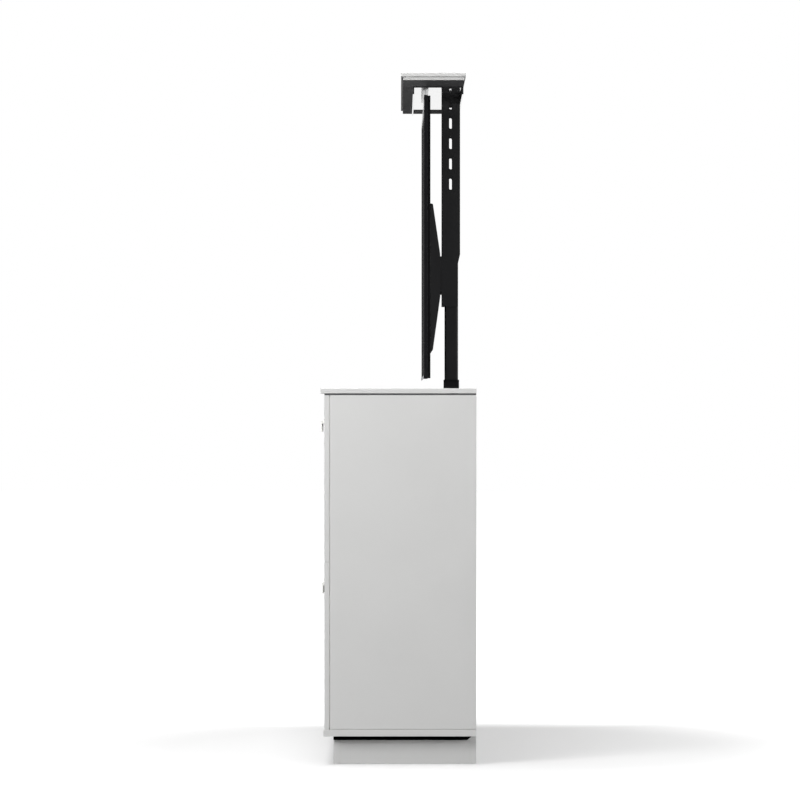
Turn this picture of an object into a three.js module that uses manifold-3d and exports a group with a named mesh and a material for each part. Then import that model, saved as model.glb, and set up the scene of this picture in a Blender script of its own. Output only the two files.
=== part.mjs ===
// A television lift cabinet, shown with its lift raised, in millimetres and +Z up.
// The front faces -Y, and the origin is the middle of the footprint on the floor.
// A white lacquered cabinet has drop-down flaps over side-hung doors in front of a television well.
// In the well stands a telescoping column whose slotted carriage carries the television and the lid.
import * as THREE from 'three';
import { mergeVertices } from 'three/addons/utils/BufferGeometryUtils.js';
import Module from 'manifold-3d';

const wasm = await Module();
wasm.setup();

// Cabinet
const cabinetWidth = 1500;
const cabinetHeight = 922;
const frontToBack = 372.4;
const boardThickness = 16;
const topThickness = 12.5;
const topOverhang = 9.6;
const shadowGap = 4.3;
const shadowGapRecess = 8;
const sideGroove = 1.7;
const bottomProud = 2;
const backPanelThickness = 12;
const backPanelRecess = 3;

// Plinth
const plinthHeight = 70;
const plinthSideRecess = 40;
const plinthFrontRecess = 22.5;

// Fronts
const columnCount = 3;
const frontThickness = 12;
const frontStandOff = 2.1;
const frontGap = 3;
const frontSideInset = 0.5;
const frontFloorGap = 2;

// Handles
const handleLength = 128;
const handleDrop = 28;
const handleProjection = 11.3;
const handlePlate = 3.4;
const handleStub = 7;
const handleRound = 1.2;
const handleFromTop = 63.2;
const handleFromEdge = 38;

// Cup hinges
const cupRadius = 13;
const cupDepth = 9;
const cupWall = 1.2;
const cupFromEdge = 18;
const cupFromCorner = 75;
const cupFlangeLength = 42;
const cupFlangeWidth = 12;
const cupFlange = 1;
const armLength = 58;
const armWidth = 12;
const armHeight = 9;
const armPlateStart = 20;
const armPlateLength = 28;
const armPlateWidth = 34;
const armPlate = 3;
const fitGap = 0.3;
const armGap = 0.4;

// Bumpers
const bumperRadius = 2.7;
const bumperFromCorner = 24;

// Television well and lid
const lidFromEnds = 130;
const lidDepth = 160.6;
const lidFromBack = 23.7;
const lidLipThickness = 8.7;
const lidPlugThickness = 8.5;
const lidRebateFront = 5;
const lidRebateBack = 3.5;
const lidRebateEnd = 5;
const openingGap = 1.5;
const wellFromFaces = 176.4;
const partitionThickness = 12;

// Lift column
const columnFromBack = 52.35;
const innerTubeDepth = 34.9;
const innerTubeWidth = 74;
const tubeWall = 2.2;
const stageGap = 0.35;
const tubeRound = 4;
const collarHeight = 6;
const lidTravel = 773.2;
const basePlate = 6;
const basePlateWidth = 180;
const basePlateDepth = 74;
const footGap = 1.5;
const nutFlange = 5;
const nutBoss = 35;
const nutRadius = 13;
const innerFootGap = 1;
const outerOverlap = 119.9;
const innerOverlap = 73.9;
const innerTubeFromWeb = 248;
const screwRadius = 8;
const screwGap = 0.4;
const screwTopGap = 12;
const screwSeat = 20;
const boltInset = 12;

// Drive unit
const gearboxWidth = 100;
const gearboxDepth = 48;
const gearboxHeight = 56;
const gearboxGap = 0.5;
const motorRadius = 18;
const motorLength = 95;
const motorHeight = 48;
const motorCap = 8;
const motorCapStep = 3;

// Column bracket and control box
const wallBracketHeight = 40;
const wallBracketWidth = 76;
const wallBracketSheet = 3;
const wallBracketFromTop = 12;
const controlWidth = 130;
const controlHeight = 90;
const controlDepth = 34;
const controlRound = 5;
const controlFromSide = 234;
const controlZ = 330;
const inletWidth = 26;
const inletHeight = 18;
const inletDepth = 12;
const cableHoleRadius = 30;
const cableHoleZ = 160;

// Carriage
const carriageSheet = 2.2;
const carriageGap = 0.55;
const carriageSideGap = 2;
const carriageDepth = 47.8;
const carriageLength = 545.5;
const carriageTaper = 5.6;
const taperTopFromFoot = 136;
const taperBottomFromFoot = 111.5;
const slotWidth = 7.9;
const slotHeight = 33.4;
const slotPitch = 53.1;
const slotFromFront = 23.3;
const slotLowestFromWeb = 223.5;
const slotCount = 5;
const slotTopHeight = 21;
const slotTopDrop = 2.5;
const headDrop = 20;
const headSheet = 3;
const headLength = 40;
const clampHeight = 46;
const clampWidth = 60;

// Television
const tvFromLidEnds = 17;
const tvHeight = 705;
const tvFromWeb = 33;
const tvPanelDepth = 16;
const tvBezelFace = 6;
const tvBezelDepth = 9;
const tvStripHeight = 9;
const tvStripProud = 1;
const tvScreenRecess = 1;
const tvBackWall = 1.5;
const tvStepDepth = 7.8;
const tvSideStepDepth = 2.7;
const tvBulgeDepth = 27.05;
const tvBulgeFromBottom = 68.7;
const tvSlantFromBottom = 75;
const tvFlatFromBottom = 210;
const tvFlatHeight = 111;
const tvBulgeHeight = 375;
const tvBulgeWidth = 860;
const tvFlatWidth = 620;
const ventCount = 24;
const ventWidth = 3;
const ventPitch = 12;
const ventDepth = 2;
const ventHeight = 40;
const ventFromTop = 24;
const bracketStack = 6.7;
const bracketSheet = 2;
const hookSheet = 1.6;
const bracketFromFoot = 33.3;
const bracketHeight = 95.1;
const bracketWidth = 220;
const hookWidth = 240;
const hookPlay = 0.3;
const joggleDrop = 20;
const joggleRise = 4;
const hookDrop = 14;
const hookBottomInset = 1;
const bracketBoltX = 34;
const bracketBoltSpan = 44;
const bracketBoltFromBottom = 14;
const tvBoltX = 100;
const tvBoltSpan = 36;
const tvBoltFromBottom = 16;
const boltHeadRadius = 5.5;
const boltHead = 2;
const boltRadius = 3;
const tvBoltLength = 16;
const baseBoltLength = 20;

// Lid channel
const channelLength = 800;
const channelWeb = 3;
const channelFlange = 3.5;
const channelHeight = 19.4;
const channelFront = 128.15;
const lidScrewLength = 9;
const lidScrewRadius = 2;
const lidScrewPitch = 130;
const lidScrewCount = 6;
const lidScrewFromEdge = 24;

const roundSides = 24;
const smallSides = 8;
const cornerSteps = 4;
const overrun = 5;
const weld = 0.2;
const half = 0.5;
const gridSteps = 1024;

// Planes worked out from the sizes above
const totalDepth = frontToBack + handleProjection;
const backY = totalDepth * half;
const faceY = backY - frontToBack;
const frontBackY = faceY + frontThickness;
const carcassY = frontBackY + frontStandOff;
const sideX = cabinetWidth * half;
const sideInnerX = sideX - boardThickness;
const bottomZ = plinthHeight + boardThickness;
const topZ = cabinetHeight - topThickness;
const carcassTopZ = topZ - shadowGap;
const frontsBottomZ = bottomZ + frontFloorGap;
const frontHeight = (carcassTopZ - frontsBottomZ - frontGap) * half;
const frontWidth = (cabinetWidth - frontSideInset * 2 - frontGap * (columnCount - 1)) / columnCount;
const columnPitch = frontWidth + frontGap;
const flapBottomZ = frontsBottomZ + frontHeight + frontGap;
const shelfZ = flapBottomZ - frontGap * half;
const dividerX = columnPitch * half;
const wellFrontY = faceY + wellFromFaces + partitionThickness;
const panelFrontY = backY - backPanelRecess - backPanelThickness;

const lidLength = cabinetWidth - lidFromEnds * 2;
const lidBackY = backY - lidFromBack;
const lidFrontY = lidBackY - lidDepth;
const plugBackY = lidBackY - lidRebateBack;
const plugFrontY = lidFrontY + lidRebateFront;
const plugEndX = lidLength * half - lidRebateEnd;
const lipZ = cabinetHeight + lidTravel + fitGap;
const plugZ = lipZ - lidPlugThickness;

const columnY = backY - columnFromBack;
const stageStep = (tubeWall + stageGap) * 2;
const middleTubeDepth = innerTubeDepth + stageStep;
const middleTubeWidth = innerTubeWidth + stageStep;
const outerTubeDepth = middleTubeDepth + stageStep;
const outerTubeWidth = middleTubeWidth + stageStep;
const stageTravel = lidTravel * half;
const columnFootZ = bottomZ + basePlate;
const nutZ = columnFootZ + footGap + stageTravel;
const middleTubeZ = nutZ + nutFlange;
const innerFootZ = columnFootZ + footGap + nutFlange + innerFootGap + lidTravel;
const middleTopZ = innerFootZ + innerOverlap;
const outerTubeTop = nutZ + outerOverlap;
const screwTopZ = middleTubeZ + nutBoss + screwTopGap;

const channelWebZ = plugZ - channelWeb;
const carriageFrontY = columnY - outerTubeDepth * half - carriageGap - carriageSheet;
const carriageBackY = carriageFrontY + carriageDepth;
const carriageX = outerTubeWidth * half + carriageSideGap + carriageSheet;
const channelBackY = carriageBackY + channelFlange;
const channelFrontY = channelBackY - channelFront;
const innerTubeTop = channelWebZ - innerTubeFromWeb;
const carriageBottom = channelWebZ - carriageLength;
const bracketBottom = carriageBottom + bracketFromFoot;
const bracketTop = bracketBottom + bracketHeight;

const tvRearY = carriageFrontY - bracketStack;
const tvPanelRearY = tvRearY - tvBulgeDepth;
const tvFaceY = tvPanelRearY - tvPanelDepth;
const tvWidth = lidLength - tvFromLidEnds * 2;
const tvTop = channelWebZ - tvFromWeb;
const tvBottom = tvTop - tvHeight;
const tvBulgeBottom = tvBottom + tvBulgeFromBottom;
const tvBulgeTop = tvBulgeBottom + tvBulgeHeight;
const tvFlatBottom = tvBottom + tvFlatFromBottom;
const tvFlatTop = tvFlatBottom + tvFlatHeight;

const controlX = sideInnerX - controlFromSide;

// Materials
function finish(color, roughness, metalness) {
  return new THREE.MeshStandardMaterial({ color, roughness, metalness });
}

const whiteLacquer = finish('#e2e2e0', 0.4, 0);
const whiteMelamine = finish('#dededb', 0.55, 0);
const blackSteel = finish('#232325', 0.5, 0.6);
const blackPlastic = finish('#1d1d1f', 0.6, 0);
const nylon = finish('#2a2a2c', 0.7, 0);
const brushedMetal = finish('#9a9a98', 0.35, 0.9);
const nickel = finish('#b4b4b2', 0.3, 0.9);
const bronze = finish('#a07c48', 0.45, 0.8);
const screenGlass = finish('#0d0e10', 0.15, 0);
const silverTrim = finish('#b9bbbe', 0.35, 0.6);

// Solid helpers
function toSolid(geometry) {
  const plain = geometry.index ? geometry.toNonIndexed() : geometry.clone();
  for (const key of Object.keys(plain.attributes)) {
    if (key !== 'position') plain.deleteAttribute(key);
  }
  const merged = mergeVertices(plain);
  const vertProperties = new Float32Array(merged.attributes.position.array);
  const triVerts = new Uint32Array(merged.index.array);
  return new wasm.Manifold(new wasm.Mesh({ numProp: 3, vertProperties, triVerts }));
}

function toGeometry(solid) {
  const mesh = solid.getMesh();
  const geometry = new THREE.BufferGeometry();
  geometry.setAttribute('position', new THREE.BufferAttribute(new Float32Array(mesh.vertProperties), 3));
  geometry.setIndex(new THREE.BufferAttribute(new Uint32Array(mesh.triVerts), 1));
  geometry.computeVertexNormals();
  return geometry;
}

function cut(geometry, tools) {
  return toGeometry(tools.reduce((solid, tool) => solid.subtract(toSolid(tool)), toSolid(geometry)));
}

function join(pieces) {
  const [first, ...others] = pieces;
  return toGeometry(others.reduce((solid, piece) => solid.add(toSolid(piece)), toSolid(first)));
}

// A box between two corners, whose faces lie exactly on the planes given
function block(x0, x1, y0, y1, z0, z1) {
  const geometry = new THREE.BoxGeometry();
  const { position } = geometry.attributes;
  for (let i = 0; i < position.count; i += 1) {
    const x = position.getX(i) > 0 ? x1 : x0;
    const y = position.getY(i) > 0 ? y1 : y0;
    const z = position.getZ(i) > 0 ? z1 : z0;
    position.setXYZ(i, x, y, z);
  }
  return geometry;
}

function shapeOf(points) {
  return new THREE.Shape(points.map(([u, v]) => new THREE.Vector2(u, v)));
}

const alongX = new THREE.Matrix4().makeBasis(
  new THREE.Vector3(0, 1, 0), new THREE.Vector3(0, 0, 1), new THREE.Vector3(1, 0, 0));
const alongY = new THREE.Matrix4().makeBasis(
  new THREE.Vector3(1, 0, 0), new THREE.Vector3(0, 0, 1), new THREE.Vector3(0, -1, 0));

// A drawn-out shape whose end faces lie exactly at the two heights
function extrude(shape, low, high) {
  const settings = { depth: 1, bevelEnabled: false, curveSegments: cornerSteps };
  const geometry = new THREE.ExtrudeGeometry(shape, settings);
  const { position } = geometry.attributes;
  for (let i = 0; i < position.count; i += 1) position.setZ(i, position.getZ(i) > half ? high : low);
  return geometry;
}

// A (y, z) outline drawn out from x0 to x1
function prismX(shape, x0, x1) {
  return extrude(shape, x0, x1).applyMatrix4(alongX);
}

// An (x, z) outline drawn out from y0 to y1
function prismY(shape, y0, y1) {
  return extrude(shape, -y1, -y0).applyMatrix4(alongY);
}

// An (x, y) outline drawn out from z0 to z1
function prismZ(shape, z0, z1) {
  return extrude(shape, z0, z1);
}

function roundedRectangle(width, depth, radius) {
  const x = width * half;
  const y = depth * half;
  const shape = new THREE.Shape();
  shape.moveTo(-x + radius, -y);
  shape.lineTo(x - radius, -y);
  shape.absarc(x - radius, -y + radius, radius, -Math.PI / 2, 0);
  shape.lineTo(x, y - radius);
  shape.absarc(x - radius, y - radius, radius, 0, Math.PI / 2);
  shape.lineTo(-x + radius, y);
  shape.absarc(-x + radius, y - radius, radius, Math.PI / 2, Math.PI);
  shape.lineTo(-x, -y + radius);
  shape.absarc(-x + radius, -y + radius, radius, Math.PI, Math.PI * 3 / 2);
  return shape;
}

// A cylinder along x, y or z, whose lower end is at the given point
function rod(axis, radius, length, x, y, z, sides = roundSides) {
  const geometry = new THREE.CylinderGeometry(radius, radius, length, sides);
  geometry.translate(0, length * half, 0);
  if (axis === 'x') geometry.rotateZ(-Math.PI / 2);
  if (axis === 'z') geometry.rotateX(Math.PI / 2);
  return geometry.translate(x, y, z);
}

// A button-head bolt whose head stands on the plane through its origin, with its shank along -Z
function bolt(headRadius, headHeight, shankRadius, shankLength) {
  const profile = [
    [0, -shankLength],
    [shankRadius, -shankLength],
    [shankRadius, 0],
    [headRadius, 0],
    [headRadius, headHeight * half],
    [headRadius * half, headHeight],
    [0, headHeight],
  ];
  const points = profile.map(([r, z]) => new THREE.Vector2(r, z));
  return new THREE.LatheGeometry(points, smallSides).rotateX(Math.PI / 2);
}

const cabinet = new THREE.Group();

// Coordinates lie on a grid that 32-bit numbers hold exactly, so that faces that touch share them
function onGrid(value) {
  return Math.round(value * gridSteps) / gridSteps;
}

// Adds a piece, with its own origin in the middle of its box
function add(name, geometry, material, parent = cabinet) {
  geometry.computeBoundingBox();
  const center = geometry.boundingBox.getCenter(new THREE.Vector3());
  center.set(onGrid(center.x), onGrid(center.y), onGrid(center.z));
  const { position } = geometry.attributes;
  for (let i = 0; i < position.count; i += 1) {
    const x = onGrid(position.getX(i)) - center.x;
    const y = onGrid(position.getY(i)) - center.y;
    const z = onGrid(position.getZ(i)) - center.z;
    position.setXYZ(i, x, y, z);
  }
  const mesh = new THREE.Mesh(geometry, material);
  mesh.name = name;
  mesh.position.copy(center);
  parent.add(mesh);
  return mesh;
}

const sideNames = ['left', 'center', 'right'];
const fronts = [-1, 0, 1].map((side, i) => ({ side, name: sideNames[i], x: side * columnPitch }));

// Carcass
function sidePanel(side) {
  const outline = [
    [side * sideInnerX, bottomZ],
    [side * (sideX - sideGroove), bottomZ],
    [side * (sideX - sideGroove), bottomZ + sideGroove],
    [side * sideX, bottomZ + sideGroove],
    [side * sideX, carcassTopZ],
    [side * sideInnerX, carcassTopZ],
  ];
  return prismY(shapeOf(side > 0 ? outline : outline.reverse()), carcassY, backY);
}

function openingCutter(z0, z1) {
  const x = plugEndX + openingGap;
  return block(-x, x, plugFrontY - openingGap, plugBackY + openingGap, z0 - overrun, z1 + overrun);
}

// Soft dots on the front edge of an upright board, at the given distances from its middle
function bumpers(x, offsets, heights) {
  const thickness = frontStandOff - fitGap;
  return offsets.flatMap((offset) => heights.map((z) =>
    rod('y', bumperRadius, thickness + weld, x + offset, carcassY - thickness, z, smallSides)));
}

function makeCarcass() {
  const [leftFront, centerFront, rightFront] = fronts;
  const flapBumperZ = [carcassTopZ - bumperFromCorner];
  const doorBumperZ = [frontsBottomZ + bumperFromCorner, frontsBottomZ + frontHeight - bumperFromCorner];
  const halfBoard = boardThickness * half;
  for (const [side, front] of [[-1, leftFront], [1, rightFront]]) {
    const dots = bumpers(side * (sideX - halfBoard), [0], flapBumperZ);
    const name = side < 0 ? 'side_panel_left' : 'side_panel_right';
    add(name, join([sidePanel(side), ...hingeArms(front, false), ...dots]), whiteLacquer);
  }

  const bottom = block(-sideX, sideX, faceY - bottomProud, backY, plinthHeight, bottomZ);
  const gearboxX = gearboxWidth * half + gearboxGap;
  const gearboxY = gearboxDepth * half + gearboxGap;
  const driveHole = block(
    -gearboxX, gearboxX, columnY - gearboxY, columnY + gearboxY, plinthHeight - overrun, bottomZ + overrun);
  add('bottom_board', cut(bottom, [driveHole, ...baseBoltHoles()]), whiteLacquer);

  const topBoard = block(-sideX, sideX, faceY - topOverhang, backY, topZ, cabinetHeight);
  add('top_board', cut(topBoard, [openingCutter(topZ, cabinetHeight)]), whiteLacquer);

  const spacerX = sideX - shadowGapRecess;
  const spacer = block(
    -spacerX, spacerX, carcassY + shadowGapRecess, backY - shadowGapRecess, carcassTopZ, topZ);
  add('top_spacer', cut(spacer, [openingCutter(carcassTopZ, topZ)]), blackPlastic);

  const panelBackY = panelFrontY + backPanelThickness;
  const back = block(-sideInnerX, sideInnerX, panelFrontY, panelBackY, bottomZ, carcassTopZ);
  const cableHole = rod(
    'y', cableHoleRadius, backPanelThickness + overrun * 2, controlX, panelFrontY - overrun, cableHoleZ);
  add('back_panel', cut(back, [cableHole]), whiteMelamine);

  const partitionY = wellFrontY - partitionThickness;
  const partition = block(-sideInnerX, sideInnerX, partitionY, wellFrontY, bottomZ, carcassTopZ);
  add('well_partition', partition, whiteMelamine);

  // The dividers and the middle shelf are halved into each other
  const overlap = (frontGap * half + halfBoard) * half;
  const crossY = (carcassY + partitionY) * half;
  const notch = halfBoard + fitGap;
  const shelf = block(-sideInnerX, sideInnerX, carcassY, partitionY, shelfZ - halfBoard, shelfZ + halfBoard);
  const shelfNotches = [];
  for (const side of [-1, 1]) {
    const x = side * dividerX;
    const divider = block(x - halfBoard, x + halfBoard, carcassY, partitionY, bottomZ, carcassTopZ);
    const dividerNotch = block(
      x - halfBoard - overrun, x + halfBoard + overrun, carcassY - overrun, crossY,
      shelfZ - notch, shelfZ + notch);
    const fittings = [
      ...bumpers(x, [-overlap, overlap], flapBumperZ),
      ...bumpers(x, side < 0 ? [-overlap] : [-overlap, overlap], doorBumperZ),
      ...(side < 0 ? hingeArms(centerFront, false) : []),
    ];
    const name = side < 0 ? 'divider_left' : 'divider_right';
    add(name, join([cut(divider, [dividerNotch]), ...fittings]), whiteMelamine);
    shelfNotches.push(block(
      x - notch, x + notch, crossY - fitGap, partitionY + overrun,
      shelfZ - halfBoard - overrun, shelfZ + halfBoard + overrun));
  }
  const flapArms = fronts.flatMap((front) => hingeArms(front, true));
  add('middle_shelf', join([cut(shelf, shelfNotches), ...flapArms]), whiteMelamine);
}

function makePlinth() {
  const x = sideX - plinthSideRecess;
  const y0 = faceY + plinthFrontRecess;
  add('plinth_front', block(-x, x, y0, y0 + boardThickness, 0, plinthHeight), whiteLacquer);
  add('plinth_back', block(-x, x, backY - boardThickness, backY, 0, plinthHeight), whiteLacquer);
  for (const [name, x0] of [['plinth_left', -x], ['plinth_right', x - boardThickness]]) {
    const y1 = backY - boardThickness;
    const board = block(x0, x0 + boardThickness, y0 + boardThickness, y1, 0, plinthHeight);
    add(name, board, whiteLacquer);
  }
}

// Cup hinges: a cup with its flange is pressed into the front, and its arm is fixed to the carcass.
// They are drawn about the cup's center on the front's back face, with the hinged edge towards -X.
function cupFlangePlate() {
  return block(
    -cupFlangeWidth * half, cupFlangeWidth * half, -weld, cupFlange,
    -cupFlangeLength * half, cupFlangeLength * half);
}

function cupHollow() {
  return rod('y', cupRadius - cupWall, cupDepth - cupWall + cupFlange + overrun, 0, cupWall - cupDepth, 0);
}

function hingeArm(panelX) {
  const y0 = cupFlange + armGap;
  const nose = armHeight * half;
  const outline = [
    [panelX, y0],
    [panelX + armHeight, y0],
    [panelX + armHeight, y0 + armLength - nose],
    [panelX + nose, y0 + armLength],
    [panelX - weld, y0 + armLength],
    [panelX - weld, frontStandOff],
    [panelX, frontStandOff],
  ];
  const arm = prismZ(shapeOf(outline), -armWidth * half, armWidth * half);
  const plateY = frontStandOff + armPlateStart;
  const plate = block(
    panelX - weld, panelX + armPlate, plateY, plateY + armPlateLength,
    -armPlateWidth * half, armPlateWidth * half);
  return join([arm, plate]);
}

// Places of a front's two hinges: a turn about Y, then a move to the cup's center
function hingePlaces(front, isFlap) {
  const y = frontBackY;
  if (isFlap) {
    const reach = frontWidth * half - cupFromCorner;
    const z = flapBottomZ + cupFromEdge;
    return [-reach, reach].map((x) => ({ turn: -Math.PI / 2, at: [front.x + x, y, z] }));
  }
  const edge = front.side > 0 ? 1 : -1;
  const x = front.x + edge * (frontWidth * half - cupFromEdge);
  const heights = [frontsBottomZ + cupFromCorner, frontsBottomZ + frontHeight - cupFromCorner];
  return heights.map((z) => ({ turn: edge > 0 ? Math.PI : 0, at: [x, y, z] }));
}

// How far the board that carries the arm lies beyond the cup's center, towards the hinged edge
function armSeat(front, isFlap) {
  if (isFlap) return shelfZ + boardThickness * half - (flapBottomZ + cupFromEdge);
  if (front.side === 0) return -dividerX + boardThickness * half + (frontWidth * half - cupFromEdge);
  return frontWidth * half - cupFromEdge + columnPitch - sideInnerX;
}

function placed(geometry, place) {
  return geometry.rotateY(place.turn).translate(...place.at);
}

function hingeArms(front, isFlap) {
  return hingePlaces(front, isFlap).map((place) => placed(hingeArm(armSeat(front, isFlap)), place));
}

// An inverted L, hung from the front by its stub
function handleShape() {
  const shape = new THREE.Shape();
  shape.moveTo(0, 0);
  shape.lineTo(-handleProjection + handleRound, 0);
  shape.absarc(-handleProjection + handleRound, -handleRound, handleRound, Math.PI / 2, Math.PI);
  shape.lineTo(-handleProjection, -handleDrop + handleRound);
  shape.absarc(
    -handleProjection + handleRound, -handleDrop + handleRound, handleRound, Math.PI, Math.PI * 3 / 2);
  shape.lineTo(-handleProjection + handlePlate, -handleDrop);
  shape.lineTo(-handleProjection + handlePlate, -handleStub);
  shape.lineTo(0, -handleStub);
  return shape;
}

function makeFront(front, isFlap) {
  const kind = isFlap ? 'flap' : 'door';
  const z0 = isFlap ? flapBottomZ : frontsBottomZ;
  const x0 = front.x - frontWidth * half;
  const places = hingePlaces(front, isFlap);
  const panel = block(x0, x0 + frontWidth, faceY, frontBackY, z0, z0 + frontHeight);
  const flanges = places.map((place) => placed(cupFlangePlate(), place));
  const hollows = places.map((place) => placed(cupHollow(), place));
  const group = new THREE.Group();
  cabinet.add(group);
  add(`${kind}_${front.name}`, cut(join([panel, ...flanges]), hollows), whiteLacquer, group);

  const edge = front.side > 0 ? -1 : 1;
  const doorHandleX = front.x + edge * (frontWidth * half - handleFromEdge - handleLength * half);
  const handleX = isFlap ? front.x : doorHandleX;
  const handle = prismX(handleShape(), -handleLength * half, handleLength * half);
  handle.translate(handleX, faceY, z0 + frontHeight - handleFromTop);
  add(`${kind}_${front.name}_handle`, handle, brushedMetal, group);
}

function makeFronts() {
  for (const front of fronts) {
    makeFront(front, false);
    makeFront(front, true);
  }
}

// A rectangular tube with round corners, standing on z0
function tube(width, depth, z0, z1) {
  const outer = roundedRectangle(width, depth, tubeRound);
  const inner = roundedRectangle(width - tubeWall * 2, depth - tubeWall * 2, tubeRound - tubeWall * half);
  outer.holes.push(inner);
  return prismZ(outer, z0, z1).translate(0, columnY, 0);
}

function baseBoltSpots() {
  const x = basePlateWidth * half - boltInset;
  const y = basePlateDepth * half - boltInset;
  return [[-x, -y], [x, -y], [-x, y], [x, y]].map(([u, v]) => [u, columnY + v]);
}

function baseBoltHoles() {
  const length = baseBoltLength + fitGap + overrun;
  const z = columnFootZ - baseBoltLength - fitGap;
  return baseBoltSpots().map(([x, y]) => rod('z', boltRadius + fitGap, length, x, y, z, smallSides));
}

// The column's fixed part: base plate, outer tube, bracket to the back panel and drive unit
function makeColumnFoot() {
  const x = basePlateWidth * half;
  const y = basePlateDepth * half;
  const plate = block(-x, x, columnY - y, columnY + y, bottomZ, columnFootZ);
  const screwHole = rod('z', screwRadius + screwGap, basePlate + overrun * 2, 0, columnY, bottomZ - overrun);
  const bolts = baseBoltSpots().map(([u, v]) =>
    bolt(boltHeadRadius, boltHead, boltRadius, baseBoltLength).translate(u, v, columnFootZ));
  add('lift_base_plate', join([cut(plate, [screwHole]), ...bolts]), blackSteel);

  const tubeTop = outerTubeTop - collarHeight;
  add('lift_outer_tube', tube(outerTubeWidth, outerTubeDepth, columnFootZ, tubeTop), blackSteel);
  add('lift_outer_collar', tube(outerTubeWidth, outerTubeDepth, tubeTop, outerTubeTop), nylon);

  const bracketZ = tubeTop - wallBracketFromTop;
  const w = wallBracketWidth * half;
  const inner = w - wallBracketSheet;
  const tubeRearY = columnY + outerTubeDepth * half;
  const bracket = block(-w, w, tubeRearY, panelFrontY, bracketZ - wallBracketHeight, bracketZ);
  const hollow = block(
    -inner, inner, tubeRearY + wallBracketSheet, panelFrontY + overrun,
    bracketZ - wallBracketHeight - overrun, bracketZ + overrun);
  add('column_wall_bracket', cut(bracket, [hollow]), blackSteel);

  const gx = gearboxWidth * half;
  const gearboxOutline = roundedRectangle(gearboxWidth, gearboxDepth, tubeRound);
  const gearbox = prismZ(gearboxOutline, bottomZ - gearboxHeight, bottomZ).translate(0, columnY, 0);
  const seat = rod('z', screwRadius + screwGap, screwSeat + overrun, 0, columnY, bottomZ - screwSeat);
  add('drive_gearbox', cut(gearbox, [seat]), blackPlastic);

  const motorProfile = [
    [0, 0],
    [motorRadius, 0],
    [motorRadius, motorLength - motorCap],
    [motorRadius - motorCapStep, motorLength - motorCap],
    [motorRadius - motorCapStep, motorLength],
    [0, motorLength],
  ];
  const motor = new THREE.LatheGeometry(motorProfile.map(([r, h]) => new THREE.Vector2(r, h)), roundSides);
  motor.rotateZ(-Math.PI / 2).translate(gx, columnY, motorHeight);
  add('drive_motor', motor, blackSteel);
}

// The turning screw inside the column
function makeScrew() {
  const z0 = bottomZ - screwSeat + fitGap;
  add('lift_screw', rod('z', screwRadius, screwTopZ - z0, 0, columnY, z0), nickel);
}

// The middle stage: a nut at the foot of its tube and a collar round its top
function makeMiddleStage() {
  const flange = prismZ(roundedRectangle(middleTubeWidth, middleTubeDepth, tubeRound), nutZ, middleTubeZ);
  flange.translate(0, columnY, 0);
  const boss = rod('z', nutRadius, nutFlange + nutBoss, 0, columnY, nutZ);
  const bore = rod(
    'z', screwRadius + screwGap, nutFlange + nutBoss + overrun * 2, 0, columnY, nutZ - overrun);
  add('lift_nut', toGeometry(toSolid(flange).add(toSolid(boss)).subtract(toSolid(bore))), bronze);
  const tubeTop = middleTopZ - collarHeight;
  add('lift_middle_tube', tube(middleTubeWidth, middleTubeDepth, middleTubeZ, tubeTop), blackSteel);
  add('lift_middle_collar', tube(middleTubeWidth, middleTubeDepth, tubeTop, middleTopZ), nylon);
}

// The carriage: a channel round the tubes, open at the back, with slotted sides
function carriageSide(side) {
  const x0 = side * carriageX;
  const x1 = side * (carriageX - carriageSheet);
  const outline = [
    [carriageFrontY, carriageBottom],
    [carriageBackY - carriageTaper, carriageBottom],
    [carriageBackY - carriageTaper, carriageBottom + taperBottomFromFoot],
    [carriageBackY, carriageBottom + taperTopFromFoot],
    [carriageBackY, channelWebZ],
    [carriageFrontY, channelWebZ],
  ];
  const shape = shapeOf(outline);
  const slotY = carriageFrontY + slotFromFront;
  for (let i = 0; i < slotCount; i += 1) {
    const isTop = i === slotCount - 1;
    const height = isTop ? slotTopHeight : slotHeight;
    const drop = slotLowestFromWeb + slotHeight * half + (isTop ? slotTopDrop : 0);
    const low = channelWebZ - drop + i * slotPitch;
    const radius = slotWidth * half;
    const slot = new THREE.Path();
    slot.absarc(slotY, low + radius, radius, Math.PI, Math.PI * 2);
    slot.absarc(slotY, low + height - radius, radius, 0, Math.PI);
    shape.holes.push(slot);
  }
  return prismX(shape, Math.min(x0, x1), Math.max(x0, x1));
}

function bracketBoltSpots() {
  const low = bracketBottom + bracketBoltFromBottom;
  const heights = [low, low + bracketBoltSpan];
  return [-1, 1].flatMap((side) => heights.map((z) => [side * bracketBoltX, z]));
}

function makeCarriage() {
  const inner = carriageX - carriageSheet;
  const webBackY = carriageFrontY + carriageSheet;
  const web = block(-inner, inner, carriageFrontY, webBackY, carriageBottom, channelWebZ);
  const body = join([web, carriageSide(-1), carriageSide(1)]);
  const length = bracketSheet + carriageSheet;
  const holes = bracketBoltSpots().map(([x, z]) =>
    rod('y', boltRadius + fitGap, length + overrun, x, carriageFrontY - overrun, z, smallSides));
  add('lift_carriage', cut(body, holes), blackSteel);

  const headY = carriageBackY - headLength;
  const head = block(-inner, inner, headY, carriageBackY, channelWebZ - headDrop, channelWebZ);
  const headHollow = block(
    -inner + headSheet, inner - headSheet, headY - overrun, carriageBackY + overrun,
    channelWebZ - headDrop - overrun, channelWebZ - headSheet);
  add('carriage_head_bracket', cut(head, [headHollow]), blackSteel);

  add('lift_inner_tube', tube(innerTubeWidth, innerTubeDepth, innerFootZ, innerTubeTop), blackSteel);
  const clampX = clampWidth * half;
  const tubeFrontY = columnY - innerTubeDepth * half;
  const clamp = block(-clampX, clampX, webBackY, tubeFrontY, innerTubeTop - clampHeight, innerTubeTop);
  add('carriage_clamp_block', clamp, blackSteel);
}

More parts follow.
